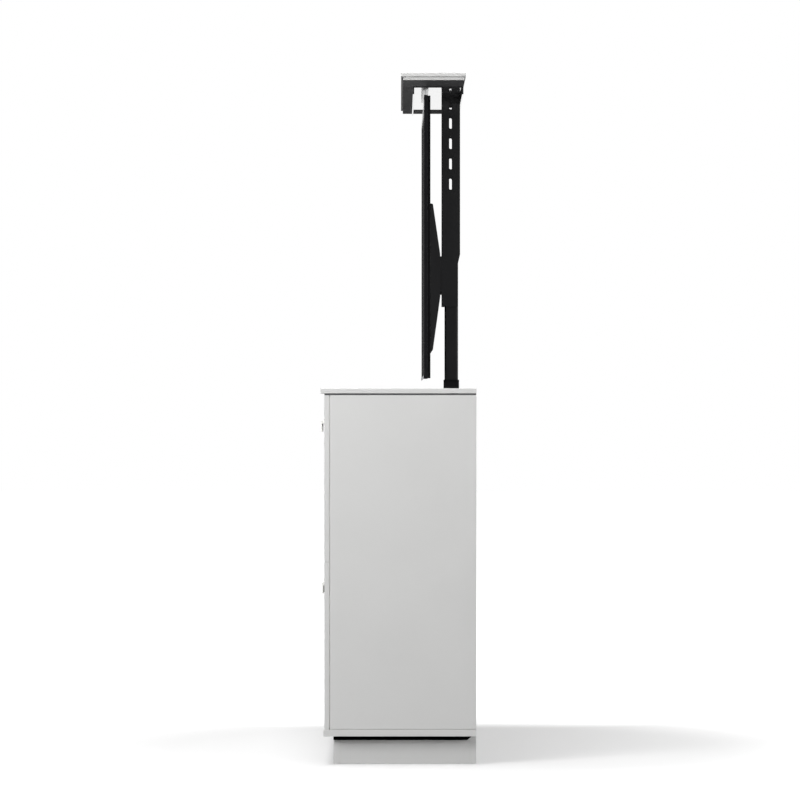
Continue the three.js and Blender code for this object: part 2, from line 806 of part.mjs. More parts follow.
// Two folded plates: the television's plate hooks over the joggled top of the carriage's plate, and its
// folded ends close the space between the two
function makeBracket() {
  const backPlane = carriageFrontY;
  const frontPlane = backPlane - bracketSheet;
  const lipBack = tvRearY + bracketSheet + hookPlay + hookSheet;
  const lipFront = lipBack - hookSheet;
  const joggle = bracketTop - bracketSheet - joggleDrop;
  const lipTop = bracketTop - bracketSheet - hookPlay;
  const plateOutline = [
    [backPlane, bracketBottom],
    [backPlane, joggle],
    [lipBack, joggle + joggleRise],
    [lipBack, lipTop],
    [lipFront, lipTop],
    [lipFront, joggle],
    [frontPlane, joggle - joggleRise],
    [frontPlane, bracketBottom],
  ];
  const plate = prismX(shapeOf(plateOutline), -bracketWidth * half, bracketWidth * half);
  const length = bracketSheet + carriageSheet;
  const carriageBolts = bracketBoltSpots().map(([x, z]) =>
    bolt(boltHeadRadius, boltHead, boltRadius, length).rotateX(Math.PI / 2).translate(x, frontPlane, z));
  add('carriage_bracket_plate', join([plate, ...carriageBolts]), blackSteel);

  const hookBack = lipBack + hookPlay + hookSheet;
  const hookOutline = [
    [tvRearY, bracketBottom + hookBottomInset],
    [tvRearY + bracketSheet, bracketBottom + hookBottomInset],
    [tvRearY + bracketSheet, bracketTop - bracketSheet],
    [lipBack + hookPlay, bracketTop - bracketSheet],
    [lipBack + hookPlay, bracketTop - hookDrop],
    [hookBack, bracketTop - hookDrop],
    [hookBack, bracketTop],
    [tvRearY, bracketTop],
  ];
  const endX = hookWidth * half;
  const insideX = endX - hookSheet * half;
  const hook = prismX(shapeOf(hookOutline), -insideX, insideX);
  const foot = bracketBottom + hookBottomInset;
  const ends = [-endX, endX - hookSheet].map((x) =>
    block(x, x + hookSheet, tvRearY, backPlane, foot, bracketTop));
  const tvBolts = tvBoltSpots().map(([x, z]) =>
    bolt(boltHeadRadius, boltHead, boltRadius, tvBoltLength)
      .rotateX(-Math.PI / 2).translate(x, tvRearY + bracketSheet, z));
  add('tv_hook_plate', join([hook, ...ends, ...tvBolts]), blackSteel);
}

function tvBoltSpots() {
  const low = bracketBottom + hookBottomInset + tvBoltFromBottom;
  return [-1, 1].flatMap((side) => [low, low + tvBoltSpan].map((z) => [side * tvBoltX, z]));
}

function tvBoltHoles() {
  const y = tvRearY + bracketSheet - tvBoltLength - fitGap;
  const length = tvBoltLength + fitGap + overrun;
  return tvBoltSpots().map(([x, z]) => rod('y', boltRadius + fitGap, length, x, y, z, smallSides));
}

// The television: bezel, screen, bottom strip, thin back shell and the moulded cover behind it
function makeTelevision() {
  const x = tvWidth * half;
  const bezelBackY = tvFaceY + tvBezelDepth;
  const stripTop = tvBottom + tvStripHeight;
  const bezel = block(-x, x, tvFaceY, bezelBackY, stripTop, tvTop);
  const window = block(
    -x + tvBezelFace, x - tvBezelFace, tvFaceY - overrun, bezelBackY + overrun,
    stripTop - overrun, tvTop - tvBezelFace);
  add('tv_bezel', cut(bezel, [window]), blackPlastic);
  const screenX = x - tvBezelFace;
  const screen = block(
    -screenX, screenX, tvFaceY + tvScreenRecess, bezelBackY, stripTop, tvTop - tvBezelFace);
  add('tv_screen', screen, screenGlass);
  add('tv_bottom_strip', block(-x, x, tvFaceY - tvStripProud, bezelBackY, tvBottom, stripTop), silverTrim);
  const shellX = x - tvBackWall;
  const shell = block(-shellX, shellX, bezelBackY, tvPanelRearY, tvBottom + tvBackWall, tvTop - tvBackWall);
  add('tv_back_shell', shell, blackPlastic);

  const sideOutline = [
    [tvPanelRearY, tvBulgeBottom],
    [tvPanelRearY + tvStepDepth, tvBottom + tvSlantFromBottom],
    [tvRearY, tvFlatBottom],
    [tvRearY, tvFlatTop],
    [tvPanelRearY + tvStepDepth, tvBulgeTop],
    [tvPanelRearY, tvBulgeTop],
  ];
  const wide = tvBulgeWidth * half;
  const flat = tvFlatWidth * half;
  const topOutline = [
    [-wide, tvPanelRearY],
    [wide, tvPanelRearY],
    [wide, tvPanelRearY + tvSideStepDepth],
    [flat, tvRearY],
    [-flat, tvRearY],
    [-wide, tvPanelRearY + tvSideStepDepth],
  ];
  const along = toSolid(prismX(shapeOf(sideOutline), -wide, wide));
  const across = toSolid(prismZ(shapeOf(topOutline), tvBulgeBottom, tvBulgeTop));
  let cover = along.intersect(across);
  for (const hole of tvBoltHoles()) cover = cover.subtract(toSolid(hole));
  for (const vent of vents()) cover = cover.subtract(toSolid(vent));
  add('tv_rear_cover', toGeometry(cover), blackPlastic);
}

// A row of upright vent slots in the sloping top of the rear cover
function vents() {
  const slope = (tvRearY - tvPanelRearY - tvStepDepth) / (tvBulgeTop - tvFlatTop);
  const top = tvBulgeTop - ventFromTop;
  const bottom = top - ventHeight;
  const yTop = tvPanelRearY + tvStepDepth + slope * ventFromTop - ventDepth;
  const yBottom = yTop + slope * ventHeight;
  const outline = [
    [yTop, top],
    [yBottom, bottom],
    [yBottom + overrun, bottom],
    [yTop + overrun, top],
  ];
  const first = -(ventCount - 1) * ventPitch * half;
  return Array.from({ length: ventCount }, (_, i) => {
    const x = first + i * ventPitch;
    return prismX(shapeOf(outline), x - ventWidth * half, x + ventWidth * half);
  });
}

function lidScrewSpots() {
  const first = -(lidScrewCount - 1) * lidScrewPitch * half;
  const ys = [channelFrontY + lidScrewFromEdge, carriageFrontY - lidScrewFromEdge];
  return ys.flatMap((y) => Array.from({ length: lidScrewCount }, (_, i) => [first + i * lidScrewPitch, y]));
}

function lidScrewHoles() {
  const z = channelWebZ - overrun;
  const length = lidScrewLength + fitGap + overrun;
  return lidScrewSpots().map(([x, y]) => rod('z', lidScrewRadius + fitGap, length, x, y, z, smallSides));
}

// The lid: a lip board over a plug board, on a steel channel
function makeLid() {
  const x = lidLength * half;
  add('lid_lip_board', block(-x, x, lidFrontY, lidBackY, lipZ, lipZ + lidLipThickness), whiteLacquer);
  const plug = block(-plugEndX, plugEndX, plugFrontY, plugBackY, plugZ, lipZ);
  add('lid_plug_board', cut(plug, lidScrewHoles()), whiteLacquer);

  const flangeZ = plugZ - channelHeight;
  const outline = [
    [channelFrontY, flangeZ],
    [channelFrontY + channelFlange, flangeZ],
    [channelFrontY + channelFlange, channelWebZ],
    [channelBackY - channelFlange, channelWebZ],
    [channelBackY - channelFlange, flangeZ],
    [channelBackY, flangeZ],
    [channelBackY, plugZ],
    [channelFrontY, plugZ],
  ];
  const channel = prismX(shapeOf(outline), -channelLength * half, channelLength * half);
  // Countersunk screws lie flush with the web, so only their shanks are drawn
  const shank = lidScrewLength - channelWeb * half;
  const screws = lidScrewSpots().map(([u, v]) =>
    rod('z', lidScrewRadius, shank, u, v, channelWebZ + channelWeb * half, smallSides));
  add('lid_channel', join([channel, ...screws]), blackSteel);
}

// The control box on the back panel, with its mains inlet at the bottom
function makeControlBox() {
  const shell = prismY(
    roundedRectangle(controlWidth, controlHeight, controlRound), panelFrontY - controlDepth, panelFrontY);
  shell.translate(controlX, 0, controlZ);
  const inletY = panelFrontY - controlDepth * half;
  const z0 = controlZ - controlHeight * half;
  const inlet = block(
    controlX - inletWidth * half, controlX + inletWidth * half,
    inletY - inletHeight * half, inletY + inletHeight * half, z0 - overrun, z0 + inletDepth);
  add('control_box', cut(shell, [inlet]), blackPlastic);
}

makeCarcass();
makePlinth();
makeFronts();
makeColumnFoot();
makeScrew();
makeMiddleStage();
makeCarriage();
makeBracket();
makeTelevision();
makeLid();
makeControlBox();

export default cabinet;
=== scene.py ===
# %% [markdown]
# # A television lift cabinet
#
# The object is a low white media cabinet with a motor lift. At the press of a button a steel column
# rises from a well behind the fronts, and carries a flat television and the piece of the top that
# covers it. The photograph shows it from the right-hand end with the lift raised, so the cabinet is a
# tall white rectangle and the television a thin black line.
#
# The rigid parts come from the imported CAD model. This lesson gives each of them the finish that it has
# in the workshop, adds the small moulded and turned parts that a CAD model leaves out, and sets up a
# plain studio. All lengths are in metres, in the frame of the CAD model, and the front faces -Y.

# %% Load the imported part
import math

import bmesh
import bpy
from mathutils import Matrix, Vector


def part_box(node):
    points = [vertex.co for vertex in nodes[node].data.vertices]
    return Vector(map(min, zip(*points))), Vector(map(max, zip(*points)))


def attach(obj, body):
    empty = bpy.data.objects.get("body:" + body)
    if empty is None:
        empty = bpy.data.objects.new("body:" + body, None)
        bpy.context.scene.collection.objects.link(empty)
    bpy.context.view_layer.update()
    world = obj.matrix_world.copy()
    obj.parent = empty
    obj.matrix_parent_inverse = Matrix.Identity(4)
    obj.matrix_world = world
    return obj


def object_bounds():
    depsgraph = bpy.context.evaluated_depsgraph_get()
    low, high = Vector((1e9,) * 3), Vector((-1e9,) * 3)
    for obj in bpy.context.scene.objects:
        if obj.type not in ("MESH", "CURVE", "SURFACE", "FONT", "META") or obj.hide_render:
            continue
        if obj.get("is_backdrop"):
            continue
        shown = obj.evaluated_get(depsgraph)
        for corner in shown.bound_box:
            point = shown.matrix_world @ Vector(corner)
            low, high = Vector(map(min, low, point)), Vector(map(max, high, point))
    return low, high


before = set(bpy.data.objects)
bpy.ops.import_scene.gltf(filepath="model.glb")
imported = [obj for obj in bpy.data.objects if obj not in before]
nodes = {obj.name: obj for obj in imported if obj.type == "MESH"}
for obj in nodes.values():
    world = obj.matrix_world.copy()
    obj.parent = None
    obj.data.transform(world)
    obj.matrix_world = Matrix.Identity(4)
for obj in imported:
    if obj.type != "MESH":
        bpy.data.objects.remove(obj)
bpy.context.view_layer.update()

# %% [markdown]
# ## Colours and nodes
#
# Paint makers give colours as sRGB hex codes, but a shader works in linear light, so one function turns
# a code into the four numbers that a socket takes. A second one adds a node, changes its settings and
# fills or links its inputs, which keeps each recipe below short enough to read as a list of steps.

# %% Two helpers for every material
MM = 0.001
CHANNELS = (1, 3, 5)
# The sRGB curve is a straight line up to its toe, and a power of the lifted value above it.
TOE = 0.04045
TOE_SLOPE = 12.92
LIFT = 0.055
GAMMA = 2.4


def linear(code):
    """An sRGB hex colour as the linear red, green, blue and alpha of a shader socket."""
    shares = [int(code[i:i + 2], 16) / 255 for i in CHANNELS]
    return [s / TOE_SLOPE if s <= TOE else ((s + LIFT) / (1 + LIFT)) ** GAMMA for s in shares] + [1.0]


def add_node(tree, kind, inputs=None, **settings):
    """Adds a shader node. An input is a value, or the output of another node to link."""
    made = tree.nodes.new("ShaderNode" + kind)
    for name, value in settings.items():
        setattr(made, name, value)
    for key, value in (inputs or {}).items():
        if isinstance(value, bpy.types.NodeSocket):
            tree.links.new(value, made.inputs[key])
        else:
            made.inputs[key].default_value = value
    return made


print("a middle grey of #808080 is", round(linear("#808080")[0], 3), "in linear light")

# %% [markdown]
# ## Coatings
#
# Most of the cabinet wears a coating: sprayed lacquer, pressed melamine, powder coat, or the skin of a
# moulding. To the eye they differ in colour, in how wide the highlight is, and in a fine relief: spray
# dries to a faint orange peel, powder melts to small pimples, and a mould is etched to a grain. All of
# them lose a little at the edges first. So one recipe serves them all, with real sizes in millimetres:
# a slow cloud of tone, a grain for the relief, a patchy roughness, and an edge mask.
#
# The edge mask compares the true normal with one that is rounded over a millimetre. They only differ
# close to an edge, and a noise breaks the line up, as handling does.

# %% The recipe for a coated surface
# The Mix node has a set of sockets for each kind of data. These are the places of its colour sockets.
MIX_A = 6
MIX_B = 7
MIX_RESULT = 2
BEVEL_SAMPLES = 4
CLOUD_SPAN = (0.35, 0.65)
EDGE_SPAN = (0.995, 0.9)
PATCH_MM = 9
PATCH_SPAN = (0.4, 0.7)
SMUDGE_MM = 40
SMUDGE_SPAN = (0.3, 0.7)


def coated(name, tones, edge, roughness, grain_mm, relief_mm, cloud_mm=150, edge_mm=1.2, wear=0.5,
           ior=1.5, clear_coat=0.0, shine=0.5):
    """A coating with two tones, an edge tone, a low and a high roughness, and a relief of that grain."""
    material = bpy.data.materials.new(name)
    material.use_nodes = True
    tree = material.node_tree
    tree.nodes.clear()
    place = add_node(tree, "TexCoord").outputs["Object"]

    # Slow clouds between the two tones
    cloud = add_node(tree, "TexNoise", {"Vector": place, "Scale": 1 / (cloud_mm * MM), "Detail": 4.0})
    spread = add_node(tree, "MapRange", {
        "Value": cloud.outputs["Fac"], "From Min": CLOUD_SPAN[0], "From Max": CLOUD_SPAN[1],
    })
    tone = add_node(tree, "Mix", {
        "Factor": spread.outputs["Result"], MIX_A: linear(tones[0]), MIX_B: linear(tones[1]),
    }, data_type="RGBA")

    # Wear where the rounded normal leaves the true one, broken up in patches
    rounded = add_node(tree, "Bevel", {"Radius": edge_mm * MM}, samples=BEVEL_SAMPLES)
    true = add_node(tree, "NewGeometry")
    likeness = add_node(tree, "VectorMath", {
        0: rounded.outputs["Normal"], 1: true.outputs["Normal"],
    }, operation="DOT_PRODUCT")
    near_edge = add_node(tree, "MapRange", {
        "Value": likeness.outputs["Value"], "From Min": EDGE_SPAN[0], "From Max": EDGE_SPAN[1],
    })
    patches = add_node(tree, "TexNoise", {"Vector": place, "Scale": 1 / (PATCH_MM * MM), "Detail": 5.0})
    rubbed = add_node(tree, "MapRange", {
        "Value": patches.outputs["Fac"], "From Min": PATCH_SPAN[0], "From Max": PATCH_SPAN[1],
        "To Max": wear,
    })
    worn = add_node(tree, "Math", {
        0: near_edge.outputs["Result"], 1: rubbed.outputs["Result"],
    }, operation="MULTIPLY")
    colour = add_node(tree, "Mix", {
        "Factor": worn.outputs["Value"], MIX_A: tone.outputs[MIX_RESULT], MIX_B: linear(edge),
    }, data_type="RGBA")

    # Patchy gloss, and a fine relief
    smudge = add_node(tree, "TexNoise", {"Vector": place, "Scale": 1 / (SMUDGE_MM * MM), "Detail": 3.0})
    gloss = add_node(tree, "MapRange", {
        "Value": smudge.outputs["Fac"], "From Min": SMUDGE_SPAN[0], "From Max": SMUDGE_SPAN[1],
        "To Min": roughness[0], "To Max": roughness[1],
    })
    grain = add_node(tree, "TexNoise", {"Vector": place, "Scale": 1 / (grain_mm * MM), "Detail": 2.0})
    relief = add_node(tree, "Bump", {"Height": grain.outputs["Fac"], "Distance": relief_mm * MM})
    shader = add_node(tree, "BsdfPrincipled", {
        "Base Color": colour.outputs[MIX_RESULT], "Roughness": gloss.outputs["Result"],
        "Normal": relief.outputs["Normal"], "IOR": ior, "Coat Weight": clear_coat,
        "Specular IOR Level": shine,
    })
    add_node(tree, "OutputMaterial", {"Surface": shader.outputs["BSDF"]})
    return material


print("the coating recipe wears edges in patches of", PATCH_MM, "mm")

# %% [markdown]
# ## The white finishes
#
# The outside is fibreboard with a satin polyurethane lacquer, sprayed and rubbed down. Lacquer has an
# index of refraction near 1.5 and a soft highlight. The peel of a good spray job is a couple of
# millimetres across and only some microns high, so it shows only where a highlight runs over it. The
# plinth's copy of the lacquer is a little lighter, as painted light on a board low in the shade, and the
# lid's copy, which stands in more light, is a shade greyer, as painted shade. The inside boards are
# chipboard faced with melamine paper, flatter, pressed against a steel sheet that leaves a fine pebble.
# All are taken a little under white, so that the studio can light them without burning them out.

# %% Lacquer and melamine
# Polyurethane lacquer, sprayed: a broad soft highlight over a faint orange peel.
lacquer = coated(
    "satin white lacquer sprayed on fibreboard", ("#dbdbda", "#dededd"), "#d0d0ce",
    (0.38, 0.46), grain_mm=2.2, relief_mm=0.02, cloud_mm=240, wear=0.35, ior=1.5)
# The same lacquer made lighter as painted light, for a board low in the shade, and flatter.
plinth_lacquer_painted_light = coated(
    "white lacquer of the plinth, lightened as painted light", ("#eaeae9", "#ededec"), "#dadad8",
    (0.42, 0.5), grain_mm=2.2, relief_mm=0.02, cloud_mm=240, wear=0.35, ior=1.5)
# The same on the lid, a shade greyer as painted shade, to offset the stronger light from above.
lid_lacquer_painted_shade = coated(
    "satin white lacquer of the lid, greyed as painted shade", ("#d0d0cf", "#d3d3d2"), "#c6c6c4",
    (0.38, 0.46), grain_mm=2.2, relief_mm=0.02, cloud_mm=240, wear=0.35, ior=1.5)
# Melamine paper, pressed: warmer and flatter than lacquer, with a fine pebble.
melamine = coated(
    "white melamine paper pressed on chipboard", ("#d3d2d0", "#d7d6d4"), "#c0bdb6",
    (0.5, 0.6), grain_mm=1.2, relief_mm=0.03, cloud_mm=180, wear=0.5, ior=1.5)
print("white finishes:", ", ".join((lacquer.name, plinth_lacquer_painted_light.name, lid_lacquer_painted_shade.name, melamine.name)))

# %% [markdown]
# ## The black finishes
#
# The column, carriage and brackets are folded and drawn steel under a black powder coat, which melts to
# a pimpled film about 0.08 mm thick with grains near a millimetre. Edges rub to grey. The middle tube
# slides in the outer one, so its coat is thinner and darker. The inner faces of the lid's channel have a
# smooth stoved enamel under a clear coat instead: seen along its surface, as from the photograph's
# camera, it mirrors the white room. The level edges of the television's mouldings are polished the same.
#
# The plug of the lid has a grey foil without any gloss on its underside. The spacer under the top and
# the underside of the lid's lip have a darker one. The television's shell, the gearbox and the control
# box are ABS from a spark-eroded mould, whose real grain of 0.3 mm is drawn at 0.9 mm here because it
# would be lost. The rear cover has a coarser grain and is flatter. The screen's frame is satin. Collars
# and cable bush are nylon, and a black rubber strip over the plinth is painted shadow for the shade
# under the bottom board.

# %% Powder coat, enamel, foil, ABS, rubber and nylon
# Powder coat on steel: small pimples break up the highlight, and edges rub to grey.
powder_coat = coated(
    "black powder coat on steel", ("#171719", "#1b1b1d"), "#464648",
    (0.42, 0.55), grain_mm=0.9, relief_mm=0.04, cloud_mm=90, wear=0.6, shine=0.3)
# The same powder, thinner: darker, with next to no highlight.
tube_coat = coated(
    "black powder coat on the middle tube", ("#0f0f10", "#131314"), "#3a3a3c",
    (0.5, 0.6), grain_mm=0.9, relief_mm=0.04, cloud_mm=90, wear=0.5, shine=0.15)
# Stoved enamel under clear coat: smooth enough to mirror the room along its face.
enamel = coated(
    "black stoved enamel under clear coat", ("#101011", "#141415"), "#3a3a3c",
    (0.1, 0.14), grain_mm=5, relief_mm=0.001, cloud_mm=120, wear=0.4, clear_coat=1.0, shine=0.6)
# Mid grey foil: flat as paper, so the underside of the lid shows only shade.
grey_foil = coated(
    "mid grey foil on fibreboard", ("#8a8a8c", "#909092"), "#6c6c6c",
    (0.7, 0.8), grain_mm=1.0, relief_mm=0.02, cloud_mm=120, wear=0.4, shine=0.0)
# Slate grey foil: it lies in a shadow gap, and looks nearly black there.
slate_foil = coated(
    "slate grey foil on fibreboard", ("#646466", "#6a6a6c"), "#727274",
    (0.6, 0.7), grain_mm=1.0, relief_mm=0.02, cloud_mm=120, wear=0.4)
# ABS from an etched mould: a deep black with a low, narrow sheen.
moulded_abs = coated(
    "black ABS from an etched mould", ("#0a0a0b", "#0d0d0f"), "#202022",
    (0.24, 0.32), grain_mm=0.9, relief_mm=0.012, cloud_mm=110, wear=0.5, ior=1.53, shine=0.08)
# ABS with a coarse grain: dark grey, without any sheen.
cover_plastic = coated(
    "black ABS of the rear cover, coarse grain", ("#2d2d2e", "#313132"), "#3a3a3b",
    (0.5, 0.6), grain_mm=1.2, relief_mm=0.04, cloud_mm=120, wear=0.4, ior=1.53, shine=0.0)
# A satin moulding: black, with a slight sheen along its edges.
bezel_plastic = coated(
    "black satin moulding of the screen frame", ("#101012", "#131315"), "#2c2c2f",
    (0.25, 0.32), grain_mm=0.9, relief_mm=0.01, cloud_mm=90, wear=0.4, ior=1.53, shine=0.12)
# Painted shadow: rubber of the deepest black, which gives back no light, for the shade under the bottom
# board.
painted_shadow_rubber = coated(
    "black rubber strip, painted shadow over the plinth", ("#070708", "#0a0a0b"), "#161617",
    (0.6, 0.7), grain_mm=0.6, relief_mm=0.02, cloud_mm=60, wear=0.3, ior=1.5, shine=0.0)
# Glide nylon, moulded: a waxy black, smooth and dull.
nylon = coated(
    "black glide nylon, moulded", ("#1d1d1e", "#212122"), "#2a2a2b",
    (0.4, 0.5), grain_mm=0.8, relief_mm=0.01, cloud_mm=60, wear=0.5, ior=1.53, shine=0.0)
# Clear bumper rubber, moulded: small pale dots, a little milky.
rubber = coated(
    "clear grey bumper rubber", ("#b5b5b2", "#bcbcb9"), "#9c9c99",
    (0.45, 0.6), grain_mm=0.6, relief_mm=0.01, cloud_mm=30, wear=0.3, ior=1.5)
print("black finishes made, with rubber for the door bumpers")

# %% [markdown]
# ## Bare and plated metals
#
# A metal has no colour under its surface: its tint is that of its highlight, so Metallic is 1 and the
# colour is light. What tells one from another is the direction of its marks. The handles are brushed
# along their length, the screw is rolled, the nut is turned, and the hinges are pressed and then nickel
# plated. The recipe stretches one noise along the marks, and uses it for tone, roughness and relief.

# %% The recipe for a metal with marks in one direction
DULLING_MM = 25
MARK_SPAN = (0.1, 0.45)


def marked_metal(name, tones, roughness, line_mm, relief_mm, stretch, anisotropic=0.0):
    """A metal whose marks are line_mm wide, and stretch times as long along x, y and z."""
    material = bpy.data.materials.new(name)
    material.use_nodes = True
    tree = material.node_tree
    tree.nodes.clear()
    place = add_node(tree, "TexCoord").outputs["Object"]
    along = add_node(tree, "Mapping", {"Vector": place, "Scale": [1 / s for s in stretch]})
    lines = add_node(tree, "TexNoise", {
        "Vector": along.outputs["Vector"], "Scale": 1 / (line_mm * MM), "Detail": 3.0,
    })
    tone = add_node(tree, "Mix", {
        "Factor": lines.outputs["Fac"], MIX_A: linear(tones[0]), MIX_B: linear(tones[1]),
    }, data_type="RGBA")
    cloud = add_node(tree, "TexNoise", {"Vector": place, "Scale": 1 / (DULLING_MM * MM), "Detail": 3.0})
    patchy = add_node(tree, "Math", {
        0: lines.outputs["Fac"], 1: cloud.outputs["Fac"],
    }, operation="MULTIPLY")
    gloss = add_node(tree, "MapRange", {
        "Value": patchy.outputs["Value"], "From Min": MARK_SPAN[0], "From Max": MARK_SPAN[1],
        "To Min": roughness[0], "To Max": roughness[1],
    })
    relief = add_node(tree, "Bump", {"Height": lines.outputs["Fac"], "Distance": relief_mm * MM})
    shader = add_node(tree, "BsdfPrincipled", {
        "Base Color": tone.outputs[MIX_RESULT], "Metallic": 1.0, "Anisotropic": anisotropic,
        "Roughness": gloss.outputs["Result"], "Normal": relief.outputs["Normal"],
    })
    add_node(tree, "OutputMaterial", {"Surface": shader.outputs["BSDF"]})
    return material


print("the metal recipe dulls its marks in clouds of", DULLING_MM, "mm")

# %% Handles, hinges, trim, screw, nut and bolts
# Brushed nickel: hair lines along the grip pull the highlight into a band.
brushed_nickel = marked_metal(
    "nickel brushed along the handle", ("#eaeae7", "#f4f4f1"), (0.5, 0.62),
    line_mm=0.4, relief_mm=0.01, stretch=(60, 1, 1), anisotropic=0.5)
# Nickel plate on pressed steel: bright and a little wavy.
plated_hinge = marked_metal(
    "nickel plate on pressed steel", ("#b0b0ad", "#c4c4c0"), (0.22, 0.34),
    line_mm=1.5, relief_mm=0.01, stretch=(1, 3, 1))
# Anodised aluminium: a pale satin line without hard glints.
satin_trim = marked_metal(
    "satin anodised aluminium trim", ("#b6b8bb", "#c6c8cb"), (0.3, 0.4),
    line_mm=0.4, relief_mm=0.004, stretch=(60, 1, 1))
# Rolled steel under oil: cold grey, with a slight ripple.
rolled_steel = marked_metal(
    "oiled steel screw, rolled", ("#8e8f90", "#a8a9aa"), (0.2, 0.32),
    line_mm=2.0, relief_mm=0.3, stretch=(20, 20, 1))
# Bearing bronze: brown gold, with fine marks of turning.
turned_bronze = marked_metal(
    "bearing bronze, turned", ("#8f6a3a", "#a9834c"), (0.3, 0.42),
    line_mm=0.5, relief_mm=0.01, stretch=(30, 30, 1))
# Black oxide on steel: a dark metal with a dull glint.
black_oxide = marked_metal(
    "black oxide on steel bolts", ("#2c2c2e", "#39393b"), (0.35, 0.5),
    line_mm=0.6, relief_mm=0.01, stretch=(1, 1, 1))
# Bright zinc on steel: small cold glints.
zinc_screw = marked_metal(
    "bright zinc on steel screws", ("#a9abad", "#bfc1c2"), (0.25, 0.35),
    line_mm=0.6, relief_mm=0.01, stretch=(1, 1, 1))
print("metals made, first", brushed_nickel.name, "and last", zinc_screw.name)

# %% [markdown]
# ## The screen
#
# A switched-off display is a dark grey stack behind a glossy sheet, so it shows the room more than
# itself. The sheet has almost no grain. A very slow change of roughness stands for the marks that a
# duster leaves, and two dark tones keep it from looking like a painted board.

# %% Screen glass
# A dark display under a gloss sheet: nearly black, it mirrors the room softly.
screen_glass = coated(
    "display panel under gloss sheet", ("#08090b", "#0b0c0f"), "#1a1b1d",
    (0.06, 0.12), grain_mm=30, relief_mm=0.002, cloud_mm=260, wear=0.2, ior=1.5)
print("screen made:", screen_glass.name)

# %% [markdown]
# ## Edges
#
# No real edge is a knife edge: boards are sanded over before the spray, sheet steel has a burr that the
# tumbler takes off, and mouldings are drawn with a radius. That small round catches a thin highlight,
# which is what makes a board look solid. The CAD meshes stay as they are, and modifiers do the work:
# one closes the mesh, one merges flat triangles, one rounds the edges, and the last one turns the
# normals so that the wide faces stay flat in the light.

# %% Round the edges of a CAD node with modifiers
SHARP = math.radians(35)
FLAT = math.radians(0.3)
CLOSE = 0.005 * MM
MOST_WEIGHT = 100


def soften(name, radius_mm, segments=2):
    """Rounds the edges of a node by modifiers only, so its own mesh stays as packed."""
    thing = nodes[name]
    thing.data.shade_smooth()
    weld = thing.modifiers.new("close the mesh", "WELD")
    weld.merge_threshold = CLOSE
    flat = thing.modifiers.new("merge flat triangles", "DECIMATE")
    flat.decimate_type = "DISSOLVE"
    flat.angle_limit = FLAT
    flat.delimit = {"MATERIAL"}
    edge = thing.modifiers.new("sanded edges", "BEVEL")
    edge.width = radius_mm * MM
    edge.segments = segments
    edge.limit_method = "ANGLE"
    edge.angle_limit = SHARP
    light = thing.modifiers.new("flat faces stay flat", "WEIGHTED_NORMAL")
    light.weight = MOST_WEIGHT
    light.keep_sharp = False


print("edges sharper than", round(math.degrees(SHARP)), "degrees will be rounded")

# %% [markdown]
# ## Who wears what
#
# Small fittings are one solid with the board or plate that carries them: a hinge cup with its door, a
# bolt with its plate. They are told apart by where their faces lie. Each rule below is a short test on
# the middle of a face, and the faces that pass get the fitting's own material.

# %% Give each CAD node its finish
SKIN = 0.05 * MM


def dress(name, main, *fittings):
    """Gives a node its main material, and each (material, test) to the faces whose middle passes."""
    mesh = nodes[name].data
    mesh.materials.clear()
    mesh.materials.append(main)
    count = 0
    for index, (material, test) in enumerate(fittings, 1):
        mesh.materials.append(material)
        for face in mesh.polygons:
            if test(face.center, face.normal):
                face.material_index = index
                count += 1
    return count


plain = {
    lacquer: ("bottom_board", "top_board"),
    plinth_lacquer_painted_light: ("plinth_front", "plinth_back", "plinth_left", "plinth_right"),
    melamine: ("back_panel", "well_partition"),
    tube_coat: ("lift_middle_tube",),
    powder_coat: ("lift_outer_tube", "column_wall_bracket", "drive_motor",
                  "lift_inner_tube", "lift_carriage", "carriage_head_bracket", "carriage_clamp_block"),
    slate_foil: ("top_spacer",),
    moulded_abs: ("drive_gearbox", "control_box"),
    cover_plastic: ("tv_rear_cover",),
    nylon: ("lift_outer_collar", "lift_middle_collar"),
    rolled_steel: ("lift_screw",),
    turned_bronze: ("lift_nut",),
    screen_glass: ("tv_screen",),
    brushed_nickel: tuple(n for n in nodes if n.endswith("_handle")),
}
for material, names in plain.items():
    for name in names:
        dress(name, material)
print("nodes in one finish:", sum(len(names) for names in plain.values()))

# %% [markdown]
# ### Boards with fittings
#
# A side panel has its carcass edge on one plane, so anything in front of that is a bumper and anything
# inside the board's inner face is a hinge arm. A front has its cup flanges behind its back face, and the
# hollow of the cup between its two faces.

# %% Panels, dividers and the middle shelf
BOARD = 16 * MM
SPACER_BACK = 8 * MM
panel_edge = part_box("top_spacer")[0].y - SPACER_BACK
inner_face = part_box("well_partition")[1].x
divider_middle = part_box("divider_right")[0].x + BOARD / 2
shelf_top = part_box("middle_shelf")[0].z + BOARD


def is_bumper(centre, normal):
    return centre.y < panel_edge - SKIN


def is_panel_arm(centre, normal):
    return abs(centre.x) < inner_face - SKIN


def is_divider_arm(centre, normal):
    return abs(abs(centre.x) - divider_middle) > BOARD / 2 + SKIN


def is_shelf_arm(centre, normal):
    return centre.z > shelf_top + SKIN


found = 0
for name in ("side_panel_left", "side_panel_right"):
    found += dress(name, lacquer, (plated_hinge, is_panel_arm), (rubber, is_bumper))
for name in ("divider_left", "divider_right"):
    found += dress(name, melamine, (plated_hinge, is_divider_arm), (rubber, is_bumper))
found += dress("middle_shelf", melamine, (plated_hinge, is_shelf_arm))
print("faces of hinge arms and bumpers:", found)

